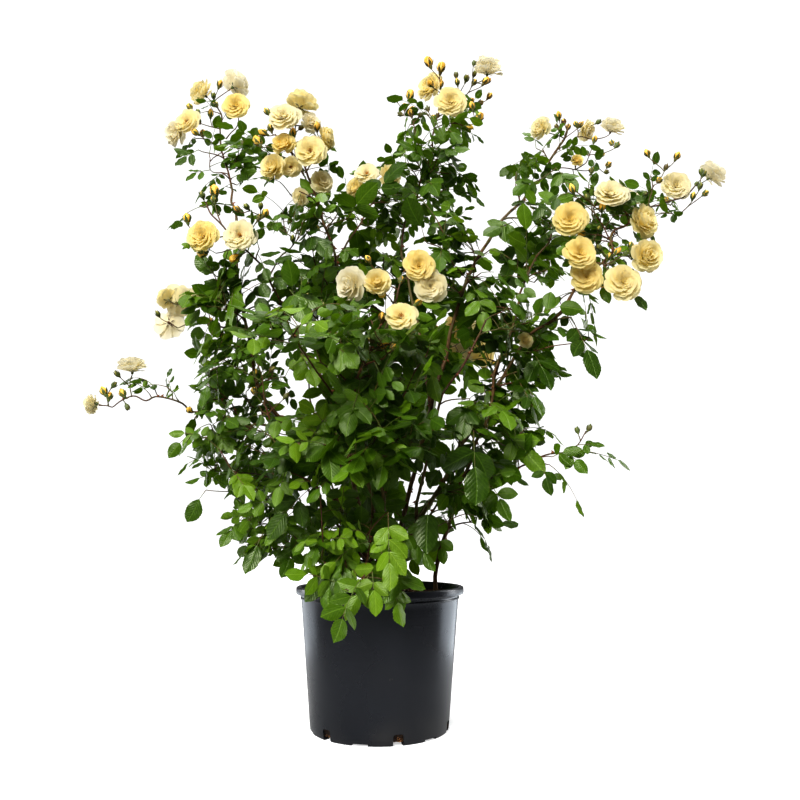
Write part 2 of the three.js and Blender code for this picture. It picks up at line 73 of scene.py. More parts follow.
# Leaders: name, radius in mm at foot and tip, and the points passed, each as a node of the frame
# and how far along that node's box it lies.
# Blooms: node, place in its box, width in mm, the way it faces, tint 0 deep yellow to 3 palest, form.
# Buds: node, place in its box, and G opening, g golden, h half coloured, n green.
# Gaps: foliage mass, how far across and up its box, and radius in mm: the crown is open there from front to back.
LEADERS = [
    ('left', 4.5, 1.5, [
        ('stock', 0.338, 0.479, 0.754), ('cane_left', 0.777, 0.183, 0.264),
        ('cane_left', 0.438, 0.406, 0.619), ('foliage_mid_left', 0.662, 0.516, 0.189),
        ('foliage_upper_left', 0.653, 0.608, 0.113), ('foliage_upper_left', 0.490, 0.571, 0.897),
        ('bough_upper_left', 0.845, 0.075, 0.311), ('bough_upper_left', 0.621, 0.438, 0.463),
        ('bough_upper_left', 0.493, 0.740, 0.590), ('foliage_upper_left_stem', 0.421, 0.601, 0.403),
        ('foliage_upper_left_stem', 0.239, 0.710, 0.785), ('blooms_upper_left', 0.672, 0.494, 0.108),
        ('blooms_upper_left', 0.672, 0.494, 0.232), ('blooms_upper_left', 0.687, 0.494, 0.419),
        ('blooms_upper_left', 0.633, 0.494, 0.560)]),
    ('left_a', 1.5, 1.0, [
        ('foliage_upper_left_stem', 0.239, 0.710, 0.785), ('blooms_upper_left', 0.621, 0.450, -0.004),
        ('blooms_upper_left', 0.541, 0.405, 0.028), ('blooms_upper_left', 0.485, 0.360, 0.071)]),
    ('left_b', 1.4, 0.9, [
        ('foliage_upper_left_stem', 0.421, 0.601, 0.403), ('foliage_upper_left_stem', 0.551, 0.547, 0.561),
        ('foliage_upper_left_stem', 0.640, 0.492, 0.671), ('foliage_upper_left_stem', 0.664, 0.492, 0.772)]),
    ('left_c', 1.3, 0.9, [
        ('blooms_upper_left', 0.733, 0.494, 0.077), ('blooms_upper_left', 0.789, 0.450, 0.157),
        ('blooms_upper_left', 0.844, 0.405, 0.209), ('blooms_upper_left', 0.874, 0.360, 0.263)]),
    ('left_d', 1.2, 0.9, [
        ('blooms_upper_left', 0.668, 0.494, 0.232), ('blooms_upper_left', 0.626, 0.450, 0.230),
        ('blooms_upper_left', 0.544, 0.405, 0.245), ('blooms_upper_left', 0.489, 0.360, 0.252)]),
    ('second', 4.5, 1.5, [
        ('stock', 0.365, 0.594, 0.754), ('cane_centre_left', 0.664, 0.857, 0.214),
        ('cane_centre_left', 0.322, 0.630, 0.575), ('foliage_upper_centre_left', 0.626, 0.598, 0.216),
        ('foliage_upper_centre_left', 0.660, 0.515, 0.751), ('bough_second_left', 0.687, 0.628, 0.370),
        ('bough_second_left', 0.326, 0.340, 0.792), ('blooms_second_left', 0.481, 0.487, 0.291),
        ('blooms_second_left', 0.565, 0.487, 0.058), ('blooms_second_left', 0.479, 0.487, 0.202),
        ('blooms_second_left', 0.418, 0.487, 0.286), ('blooms_second_left', 0.437, 0.487, 0.397),
        ('blooms_second_left', 0.440, 0.487, 0.501)]),
    ('second_a', 1.3, 0.9, [
        ('blooms_second_left', 0.479, 0.487, 0.202), ('blooms_second_left', 0.337, 0.449, 0.217),
        ('blooms_second_left', 0.209, 0.411, 0.295), ('blooms_second_left', 0.132, 0.411, 0.341)]),
    ('second_b', 1.3, 0.9, [
        ('blooms_second_left', 0.565, 0.487, 0.058), ('blooms_second_left', 0.603, 0.524, 0.126),
        ('blooms_second_left', 0.653, 0.562, 0.210), ('blooms_second_left', 0.684, 0.562, 0.291)]),
    ('second_c', 1.2, 0.9, [
        ('blooms_second_left', 0.437, 0.487, 0.397), ('blooms_second_left', 0.374, 0.449, 0.438),
        ('blooms_second_left', 0.281, 0.411, 0.430), ('blooms_second_left', 0.237, 0.411, 0.467)]),
    ('pair', 3.0, 1.3, [
        ('cane_centre_left', 0.322, 0.630, 0.575), ('cane_left', 0.488, 0.183, 1.118),
        ('foliage_upper_centre_left', 0.241, 0.515, 0.079), ('foliage_upper_left', 0.922, 0.481, 0.643),
        ('foliage_upper_left', 0.837, 0.390, 0.758), ('blooms_left_pair', 0.664, 0.818, 0.246),
        ('blooms_left_pair', 0.573, 0.648, 0.329), ('blooms_left_pair', 0.460, 0.648, 0.527),
        ('blooms_left_pair', 0.397, 0.648, 0.630), ('blooms_left_pair', 0.266, 0.648, 0.808),
        ('blooms_left_pair', 0.208, 0.648, 1.005)]),
    ('pair_a', 1.2, 0.9, [
        ('blooms_left_pair', 0.397, 0.648, 0.630), ('blooms_left_pair', 0.315, 0.733, 0.889),
        ('blooms_left_pair', 0.289, 0.733, 1.013)]),
    ('pair_b', 1.2, 0.9, [
        ('blooms_left_pair', 0.573, 0.648, 0.329), ('blooms_left_pair', 0.675, 0.775, 0.596),
        ('blooms_left_pair', 0.740, 0.818, 0.786)]),
    ('pair_c', 1.6, 1.1, [
        ('foliage_upper_left', 0.891, 0.435, 0.644), ('foliage_upper_centre_left', 0.081, 0.463, 0.728),
        ('foliage_upper_centre_left', 0.200, 0.515, 0.886), ('foliage_second_left_stem', 0.411, 0.551, 0.106)]),
    ('centre_right', 4.4, 2.2, [
        ('stock', 0.577, 0.602, 0.754), ('cane_centre_right', 0.250, 0.818, 0.210),
        ('cane_centre_right', 0.617, 0.328, 0.576), ('foliage_upper_centre_right', 0.447, 0.551, 0.144),
        ('foliage_upper_centre_right', 0.606, 0.561, 0.533), ('foliage_upper_centre_right', 0.799, 0.647, 0.845),
        ('foliage_upper_right', 0.217, 0.483, 0.861), ('bough_upper_right', 0.441, 0.629, 0.444),
        ('foliage_upper_right_stem', 0.664, 0.638, 0.314), ('foliage_upper_right_stem', 0.915, 0.774, 0.632),
        ('blooms_upper_right', 0.306, 0.451, -0.118), ('blooms_upper_right', 0.385, 0.495, 0.181),
        ('blooms_upper_right', 0.442, 0.538, 0.402), ('blooms_upper_right', 0.466, 0.538, 0.551)]),
    ('upright_a', 1.4, 0.9, [
        ('foliage_upper_right_stem', 0.915, 0.774, 0.632), ('bough_upper_right', 0.938, 0.964, 0.799),
        ('blooms_upper_right', 0.508, 0.451, -0.239), ('blooms_upper_right', 0.598, 0.451, -0.258),
        ('blooms_upper_right', 0.703, 0.495, -0.179)]),
    ('upright_b', 1.3, 0.9, [
        ('blooms_upper_right', 0.385, 0.495, 0.181), ('blooms_upper_right', 0.501, 0.581, 0.382),
        ('blooms_upper_right', 0.582, 0.625, 0.484), ('blooms_upper_right', 0.665, 0.625, 0.445)]),
    ('upright_c', 1.3, 0.9, [
        ('blooms_upper_right', 0.508, 0.451, -0.239), ('blooms_upper_right', 0.592, 0.451, -0.107),
        ('blooms_upper_right', 0.637, 0.451, 0.044), ('blooms_upper_right', 0.694, 0.451, 0.044)]),
    ('top', 3.0, 1.4, [
        ('cane_centre_right', 0.617, 0.328, 0.576), ('cane_centre_right', 0.499, 1.112, 0.827),
        ('foliage_upper_centre_right', -0.052, 0.743, 0.407), ('foliage_neck', 0.603, 0.504, 0.150),
        ('foliage_neck', 0.700, 0.468, 0.588), ('foliage_top_stem', 0.417, 0.489, 0.389),
        ('foliage_top_stem', 0.453, 0.489, 0.496), ('foliage_top_stem', 0.592, 0.534, 0.780),
        ('bough_top', 0.812, 0.819, 0.771), ('blooms_top', 0.368, 0.509, 0.037),
        ('blooms_top', 0.391, 0.550, 0.189)]),
    ('top_a', 1.4, 0.9, [
        ('foliage_top_stem', 0.438, 0.489, 0.496), ('foliage_top_stem', 0.395, 0.445, 0.585),
        ('bough_top', 0.460, -0.096, 0.686), ('bough_top', 0.328, -0.096, 0.753),
        ('bough_top', 0.298, -0.096, 0.861), ('blooms_top', 0.165, 0.385, 0.114)]),
    ('top_b', 1.3, 0.9, [
        ('blooms_top', 0.391, 0.550, 0.189), ('blooms_top', 0.532, 0.674, 0.381),
        ('blooms_top', 0.682, 0.715, 0.602), ('blooms_top', 0.721, 0.715, 0.702)]),
    ('top_c', 1.3, 0.9, [
        ('blooms_top', 0.368, 0.509, 0.037), ('blooms_top', 0.468, 0.467, 0.072),
        ('blooms_top', 0.563, 0.426, 0.058), ('blooms_top', 0.626, 0.426, 0.030)]),
    ('cluster_up', 2.0, 1.1, [
        ('foliage_upper_centre_left', 0.660, 0.515, 0.751), ('foliage_second_left_stem', 1.108, 0.663, 0.381),
        ('foliage_neck', 0.257, 0.147, 0.309), ('foliage_neck', 0.285, 0.076, 0.465),
        ('foliage_neck', 0.294, 0.076, 0.569)]),
    ('right', 4.4, 1.4, [
        ('stock', 0.610, 0.484, 0.754), ('cane_right', 0.281, 0.368, 0.263),
        ('cane_right', 0.614, 0.133, 0.586), ('foliage_low_right', 0.519, 0.446, 0.866),
        ('foliage_mid_right', 0.517, 0.386, 0.331), ('foliage_mid_right', 0.698, 0.327, 0.582),
        ('bough_right_arm', 0.449, 0.516, 0.289), ('blooms_right', 0.389, 0.479, 0.122),
        ('blooms_right', 0.660, 0.502, 0.412), ('blooms_right', 0.655, 0.559, 0.534),
        ('blooms_right', 0.695, 0.588, 0.637), ('blooms_right', 0.800, 0.617, 0.698),
        ('bough_far_right', 0.257, 0.197, 0.288), ('bough_far_right', 0.506, 0.435, 0.519),
        ('bough_far_right', 0.771, 0.672, 0.684), ('blooms_far_right', 0.388, 0.267, 0.219),
        ('blooms_far_right', 0.560, 0.422, 0.448)]),
    ('right_a', 1.3, 0.9, [
        ('bough_far_right', 0.423, 0.316, 0.439), ('bough_far_right', 0.458, 0.316, 0.622),
        ('bough_far_right', 0.518, 0.316, 0.824), ('bough_far_right', 0.505, 0.316, 1.027)]),
    ('right_b', 1.3, 0.9, [
        ('bough_far_right', 0.771, 0.672, 0.684), ('bough_far_right', 0.931, 0.790, 0.536),
        ('bough_far_right', 1.047, 0.909, 0.522), ('blooms_far_right', 0.468, 0.371, 0.090),
        ('blooms_far_right', 0.651, 0.474, 0.298)]),
    ('right_c', 1.5, 1.0, [
        ('blooms_right', 0.655, 0.559, 0.534), ('blooms_right', 0.592, 0.530, 0.559),
        ('blooms_right', 0.528, 0.502, 0.558), ('blooms_right', 0.484, 0.502, 0.567)]),
    ('right_d', 1.5, 1.0, [
        ('blooms_right', 0.660, 0.502, 0.412), ('blooms_right', 0.601, 0.473, 0.346),
        ('blooms_right', 0.578, 0.444, 0.276), ('blooms_right', 0.630, 0.415, 0.293),
        ('blooms_right', 0.704, 0.415, 0.345)]),
    ('right_e', 1.4, 1.0, [
        ('blooms_right', 0.655, 0.559, 0.534), ('blooms_right', 0.588, 0.559, 0.695),
        ('blooms_right', 0.549, 0.559, 0.821), ('blooms_right', 0.575, 0.530, 0.883)]),
    ('outer_right', 4.0, 1.6, [
        ('pot', 0.839, 0.618, 0.933), ('cane_outer_right', 0.073, 0.860, 0.119),
        ('cane_outer_right', 0.284, 0.743, 0.391), ('cane_outer_right', 0.531, 0.587, 0.702),
        ('foliage_foot_right', 0.468, 0.482, 0.742), ('foliage_low_right', 0.349, 0.461, 0.409),
        ('foliage_low_right', 0.445, 0.392, 0.571), ('foliage_mid_right', 0.377, 0.371, 0.261),
        ('foliage_mid_right', 0.507, 0.393, 0.577), ('foliage_upper_right', 0.388, 0.118, 0.211),
        ('foliage_upper_right', 0.541, 0.177, 0.411), ('foliage_upper_right', 0.628, 0.177, 0.515),
        ('foliage_upper_right', 0.683, 0.177, 0.624)]),
    ('front', 4.2, 1.4, [
        ('stock', 0.454, 0.370, 0.754), ('foliage_foot_front', 0.596, 0.700, 0.473),
        ('cane_front', 0.631, 0.261, 0.601), ('foliage_low_front', 0.524, 0.632, 0.555),
        ('foliage_mid_front', 0.426, 0.536, 0.082), ('foliage_mid_front', 0.543, 0.499, 0.571),
        ('blooms_front', 0.461, 0.564, 0.382), ('blooms_front', 0.480, 0.600, 0.526),
        ('blooms_front', 0.498, 0.635, 0.619)]),
    ('front_a', 1.4, 1.0, [
        ('blooms_front', 0.498, 0.635, 0.619), ('blooms_front', 0.565, 0.671, 0.712),
        ('blooms_front', 0.631, 0.671, 0.672)]),
    ('front_b', 1.4, 1.0, [
        ('blooms_front', 0.480, 0.600, 0.526), ('blooms_front', 0.405, 0.600, 0.579),
        ('blooms_front', 0.349, 0.600, 0.539)]),
    ('front_c', 2.2, 1.0, [
        ('foliage_low_front', 0.524, 0.632, 0.555), ('foliage_low_front', 0.437, 0.389, 0.849),
        ('foliage_front_spray', 0.632, 0.827, 0.187), ('foliage_front_spray', 0.527, 0.492, 0.454)]),
    ('front_d', 1.5, 1.0, [
        ('blooms_front', 0.461, 0.564, 0.382), ('foliage_mid_front', 0.630, 0.433, 0.774),
        ('foliage_mid_front', 0.599, 0.409, 0.587), ('foliage_mid_front', 0.580, 0.409, 0.499)]),
    ('skirt', 1.9, 1.0, [
        ('foliage_foot_front', 0.591, 0.623, 0.575), ('foliage_foot_front', 0.577, 0.402, 0.473),
        ('foliage_skirt_front', 0.529, 0.626, 0.853), ('foliage_skirt_front', 0.500, 0.327, 0.449)]),
    ('third', 3.0, 1.6, [
        ('cane_right', 0.281, 0.368, 0.263), ('foliage_low_front', 0.933, 0.972, 0.294),
        ('foliage_low_front', 0.988, 0.818, 0.759), ('foliage_low_right', 0.115, 0.107, 0.871),
        ('foliage_mid_right', 0.107, 0.138, 0.291), ('foliage_mid_right', 0.257, 0.152, 0.602)]),
    ('far_left', 2.6, 1.0, [
        ('cane_left', 0.239, 0.628, 0.796), ('foliage_low_left', 0.590, 0.476, 0.673),
        ('foliage_low_left', 0.523, 0.469, 0.638), ('foliage_low_left', 0.370, 0.452, 0.703),
        ('foliage_low_left', 0.227, 0.435, 0.760), ('bough_far_left', 0.640, 0.368, 0.231),
        ('bough_far_left', 0.495, 0.182, 0.605), ('blooms_far_left_spray', 0.773, 0.516, 0.345),
        ('blooms_far_left_spray', 0.677, 0.516, 0.264), ('blooms_far_left_spray', 0.542, 0.516, 0.350),
        ('blooms_far_left_spray', 0.430, 0.516, 0.273), ('blooms_far_left_spray', 0.357, 0.516, 0.174),
        ('blooms_far_left_spray', 0.305, 0.516, 0.192), ('blooms_far_left_spray', 0.212, 0.516, 0.192)]),
    ('far_left_a', 1.1, 0.9, [
        ('blooms_far_left_spray', 0.523, 0.516, 0.345), ('blooms_far_left_spray', 0.505, 0.516, 0.471),
        ('blooms_far_left_spray', 0.494, 0.516, 0.644)]),
    ('far_left_b', 1.0, 0.8, [
        ('blooms_far_left_spray', 0.305, 0.516, 0.192), ('blooms_far_left_spray', 0.286, 0.516, 0.309),
        ('blooms_far_left_spray', 0.278, 0.516, 0.381)]),
    ('far_left_c', 2.0, 1.0, [
        ('foliage_low_left', 0.670, 0.483, 0.870), ('foliage_low_left', 0.602, 0.469, 0.603),
        ('foliage_low_left', 0.522, 0.469, 0.664), ('foliage_low_left', 0.460, 0.435, 0.743),
        ('foliage_low_left', 0.381, 0.401, 0.864), ('foliage_low_left', 0.243, 0.401, 0.864)]),
    ('left_cluster', 2.2, 1.1, [
        ('foliage_upper_left', 0.653, 0.608, 0.113), ('foliage_upper_left', 0.440, 0.680, 0.164),
        ('foliage_upper_left', 0.214, 0.753, 0.254), ('bough_left_cluster', 0.459, 0.622, 0.550),
        ('blooms_left_cluster', 0.779, 0.446, 0.406), ('blooms_left_cluster', 0.674, 0.446, 0.560),
        ('blooms_left_cluster', 0.591, 0.501, 0.677)]),
    ('left_cluster_a', 1.1, 0.9, [
        ('blooms_left_cluster', 0.779, 0.446, 0.406), ('blooms_left_cluster', 0.569, 0.666, 0.371),
        ('blooms_left_cluster', 0.415, 0.775, 0.326)]),
    ('low_right', 2.4, 0.9, [
        ('foliage_foot_right', 0.468, 0.482, 0.742), ('foliage_foot_right', 0.699, 0.421, 0.687),
        ('foliage_low_right', 0.594, 0.438, 0.145), ('bough_low_right', 0.504, 0.411, 0.485),
        ('foliage_low_right_spray', 0.255, 0.792, 0.476), ('foliage_low_right_spray', 0.471, 0.792, 0.563),
        ('foliage_low_right_spray', 0.630, 0.792, 0.670), ('foliage_low_right_spray', 0.743, 0.792, 0.803),
        ('foliage_low_right_spray', 0.833, 0.792, 1.061)]),
    ('back', 4.2, 2.0, [
        ('stock', 0.462, 0.648, 0.754), ('cane_back', 0.752, 0.303, 0.247),
        ('cane_back', 0.220, 0.685, 0.591), ('foliage_mid_back', 0.470, 0.425, 0.228),
        ('foliage_mid_back', 0.502, 0.545, 0.870), ('foliage_upper_back', 0.534, 0.637, 0.460),
        ('foliage_upper_back', 0.564, 0.689, 0.891)]),
    ('back_a', 2.2, 1.2, [
        ('foliage_upper_back', 0.497, 0.607, 0.137), ('foliage_upper_back', 0.370, 0.751, 0.352),
        ('foliage_upper_back', 0.251, 0.823, 0.525), ('bough_back_left', 0.447, 0.564, 0.629),
        ('blooms_back_left', 0.564, 0.346, 0.356), ('blooms_back_left', 0.485, 0.521, 0.500)]),
    ('back_b', 2.2, 1.2, [
        ('foliage_mid_back', 0.489, 0.502, 0.573), ('foliage_mid_back', 0.597, 0.631, 0.632),
        ('foliage_mid_back', 0.737, 0.769, 0.751), ('bough_back_right', 0.596, 0.580, 0.660),
        ('blooms_back_right', 0.427, 0.352, 0.402), ('blooms_back_right', 0.510, 0.542, 0.545)]),
    ('foot_left', 2.6, 1.5, [
        ('stock', 0.341, 0.388, 0.754), ('foliage_foot_front', 0.441, 0.806, 0.409),
        ('foliage_foot_front', 0.190, 0.710, 0.791), ('foliage_foot_left', 0.628, 0.247, 0.937),
        ('foliage_low_left', 0.749, 0.231, 0.771)]),
    ('foot_right', 2.4, 1.5, [
        ('stock', 0.641, 0.570, 0.754), ('foliage_foot_back', 0.804, 0.118, 0.412),
        ('foliage_foot_right', 0.190, 0.726, 0.579), ('foliage_low_right', 0.349, 0.838, 0.449),
        ('foliage_low_right', 0.562, 0.861, 0.906), ('foliage_mid_right', 0.517, 0.794, 0.602)]),
    ('foot_back', 2.4, 1.5, [
        ('stock', 0.385, 0.664, 0.754), ('foliage_foot_back', 0.368, 0.273, 0.412),
        ('foliage_low_back', 0.231, 0.333, 0.048), ('foliage_low_back', 0.113, 0.409, 0.719),
        ('foliage_mid_back', -0.005, 0.416, 0.513), ('foliage_upper_back', -0.114, 0.431, 0.137)]),
]
BLOOMS = [
    ('blooms_upper_left', 0.43, 0.58, 0.87, 53, (-0.75, -0.20, 0.65), 1, 'cup'),
    ('blooms_upper_left', 0.79, 0.76, 1.08, 58, (0.50, 0.35, 0.75), 3, 'cup'),
    ('blooms_upper_left', 0.86, 0.23, 0.48, 57, (0.05, -1.00, 0.05), 0, 'rosette'),
    ('blooms_upper_left', 0.35, 0.32, 0.27, 58, (-0.25, -0.90, 0.15), 1, 'open'),
    ('blooms_upper_left', 0.22, 0.41, 0.13, 48, (-0.75, -0.60, 0.00), 3, 'cup'),
    ('blooms_second_left', 0.35, 0.26, 0.61, 60, (0.00, -1.00, 0.30), 2, 'rosette'),
    ('blooms_second_left', 0.50, 0.64, 0.94, 55, (0.30, 0.20, 0.90), 1, 'cup'),
    ('blooms_second_left', 0.62, 0.49, 0.64, 36, (0.50, -0.60, 0.30), 3, 'open'),
    ('blooms_second_left', 0.65, 0.18, 0.18, 59, (0.05, -1.00, 0.05), 1, 'open'),
    ('blooms_second_left', 0.79, 0.56, 0.49, 40, (0.85, -0.10, 0.20), 1, 'cup'),
    ('blooms_second_left', 0.34, 0.34, 0.33, 42, (-0.10, -0.80, 0.30), 0, 'cup'),
    ('blooms_second_left', 0.23, 0.34, 0.07, 51, (-0.35, -0.90, 0.00), 1, 'cup'),
    ('blooms_second_left', 0.42, 0.41, 0.09, 39, (0.10, -0.60, -0.50), 1, 'open'),
    ('blooms_second_left', 0.52, 0.49, -0.22, 35, (-0.40, -0.60, -0.50), 2, 'cup'),
    ('blooms_second_left', 0.75, 0.49, -0.04, 41, (0.50, -0.60, 0.20), 2, 'open'),
    ('blooms_left_pair', 0.24, 0.39, 0.38, 56, (-0.12, -1.00, 0.05), 0, 'rosette'),
    ('blooms_left_pair', 0.63, 0.39, 0.39, 58, (0.05, -1.00, 0.10), 2, 'open'),
    ('blooms_left_cluster', 0.43, 0.72, 0.80, 60, (0.10, 0.75, 0.60), 2, 'cup'),
    ('blooms_left_cluster', 0.24, 0.56, 0.80, 38, (-0.60, 0.30, 0.50), 1, 'cup'),
    ('blooms_left_cluster', 0.70, 0.78, 0.89, 37, (0.60, 0.50, 0.40), 3, 'cup'),
    ('blooms_left_cluster', 0.25, 0.89, 0.40, 56, (-0.05, 0.95, -0.20), 3, 'open'),
    ('blooms_far_left_spray', 0.51, 0.52, 0.93, 48, (0.05, -0.15, 1.00), 3, 'cup'),
    ('blooms_far_left_spray', 0.13, 0.52, 0.22, 34, (-1.00, -0.10, 0.00), 2, 'cup'),
    ('blooms_second_left', 1.23, 0.71, 0.14, 48, (0.00, -1.00, 0.30), 2, 'open'),
    ('blooms_second_left', 1.49, 0.79, 0.14, 44, (0.70, -0.40, 0.10), 1, 'cup'),
    ('blooms_second_left', 1.09, 0.79, 0.01, 37, (-0.50, -0.50, 0.30), 1, 'cup'),
    ('blooms_top', 0.51, 0.26, 0.28, 65, (0.05, -1.00, 0.05), 1, 'rosette'),
    ('blooms_top', 0.32, 0.67, 0.67, 54, (-0.60, -0.35, 0.35), 1, 'cup'),
    ('blooms_top', 0.88, 0.76, 0.99, 57, (0.15, -0.35, 0.85), 3, 'rosette'),
    ('blooms_upper_right', 0.23, 0.45, 0.56, 45, (-0.75, -0.45, 0.30), 2, 'cup'),
    ('blooms_upper_right', 0.65, 0.71, 0.65, 42, (0.75, -0.20, -0.35), 2, 'cup'),
    ('blooms_upper_right', 0.89, 0.80, 0.80, 51, (0.35, -0.40, 0.80), 3, 'open'),
    ('blooms_upper_right', 0.51, 0.28, -0.14, 28, (0.00, -1.00, 0.30), 0, 'cup'),
    ('blooms_right', 0.65, 0.39, 0.89, 62, (0.00, -0.90, 0.40), 2, 'rosette'),
    ('blooms_right', 0.84, 0.62, 0.94, 39, (0.60, -0.30, 0.50), 3, 'open'),
    ('blooms_right', 0.33, 0.33, 0.64, 63, (-0.05, -1.00, 0.05), 0, 'rosette'),
    ('blooms_right', 0.37, 0.21, 0.31, 58, (0.10, -1.00, 0.10), 0, 'rosette'),
    ('blooms_right', 0.43, 0.33, 0.14, 57, (-0.05, -0.95, -0.20), 0, 'rosette'),
    ('blooms_right', 0.66, 0.21, 0.06, 64, (0.05, -1.00, 0.00), 1, 'rosette'),
    ('blooms_right', 0.88, 0.39, 0.34, 54, (0.50, -0.85, 0.00), 1, 'rosette'),
    ('blooms_right', 0.92, 0.56, 0.70, 58, (0.80, -0.50, 0.20), 1, 'open'),
    ('blooms_far_right', 0.30, 0.27, 0.40, 59, (0.00, -1.00, 0.05), 2, 'rosette'),
    ('blooms_far_right', 0.85, 0.58, 0.73, 54, (0.70, -0.30, 0.60), 3, 'open'),
    ('blooms_front', 0.67, 0.24, 0.71, 52, (0.05, -1.00, 0.00), 0, 'rosette'),
    ('blooms_front', 0.78, 0.32, 0.47, 55, (0.20, -0.90, -0.20), 2, 'rosette'),
    ('blooms_front', 0.29, 0.32, 0.53, 46, (0.00, -1.00, 0.15), 1, 'cup'),
    ('blooms_front', 0.04, 0.39, 0.52, 52, (-0.80, -0.55, 0.00), 3, 'rosette'),
    ('blooms_front', 0.51, 0.17, 0.05, 53, (0.05, -0.85, 0.35), 1, 'open'),
    ('blooms_right', 0.02, 0.62, -0.32, 31, (0.30, -0.80, 0.20), 1, 'cup'),
]
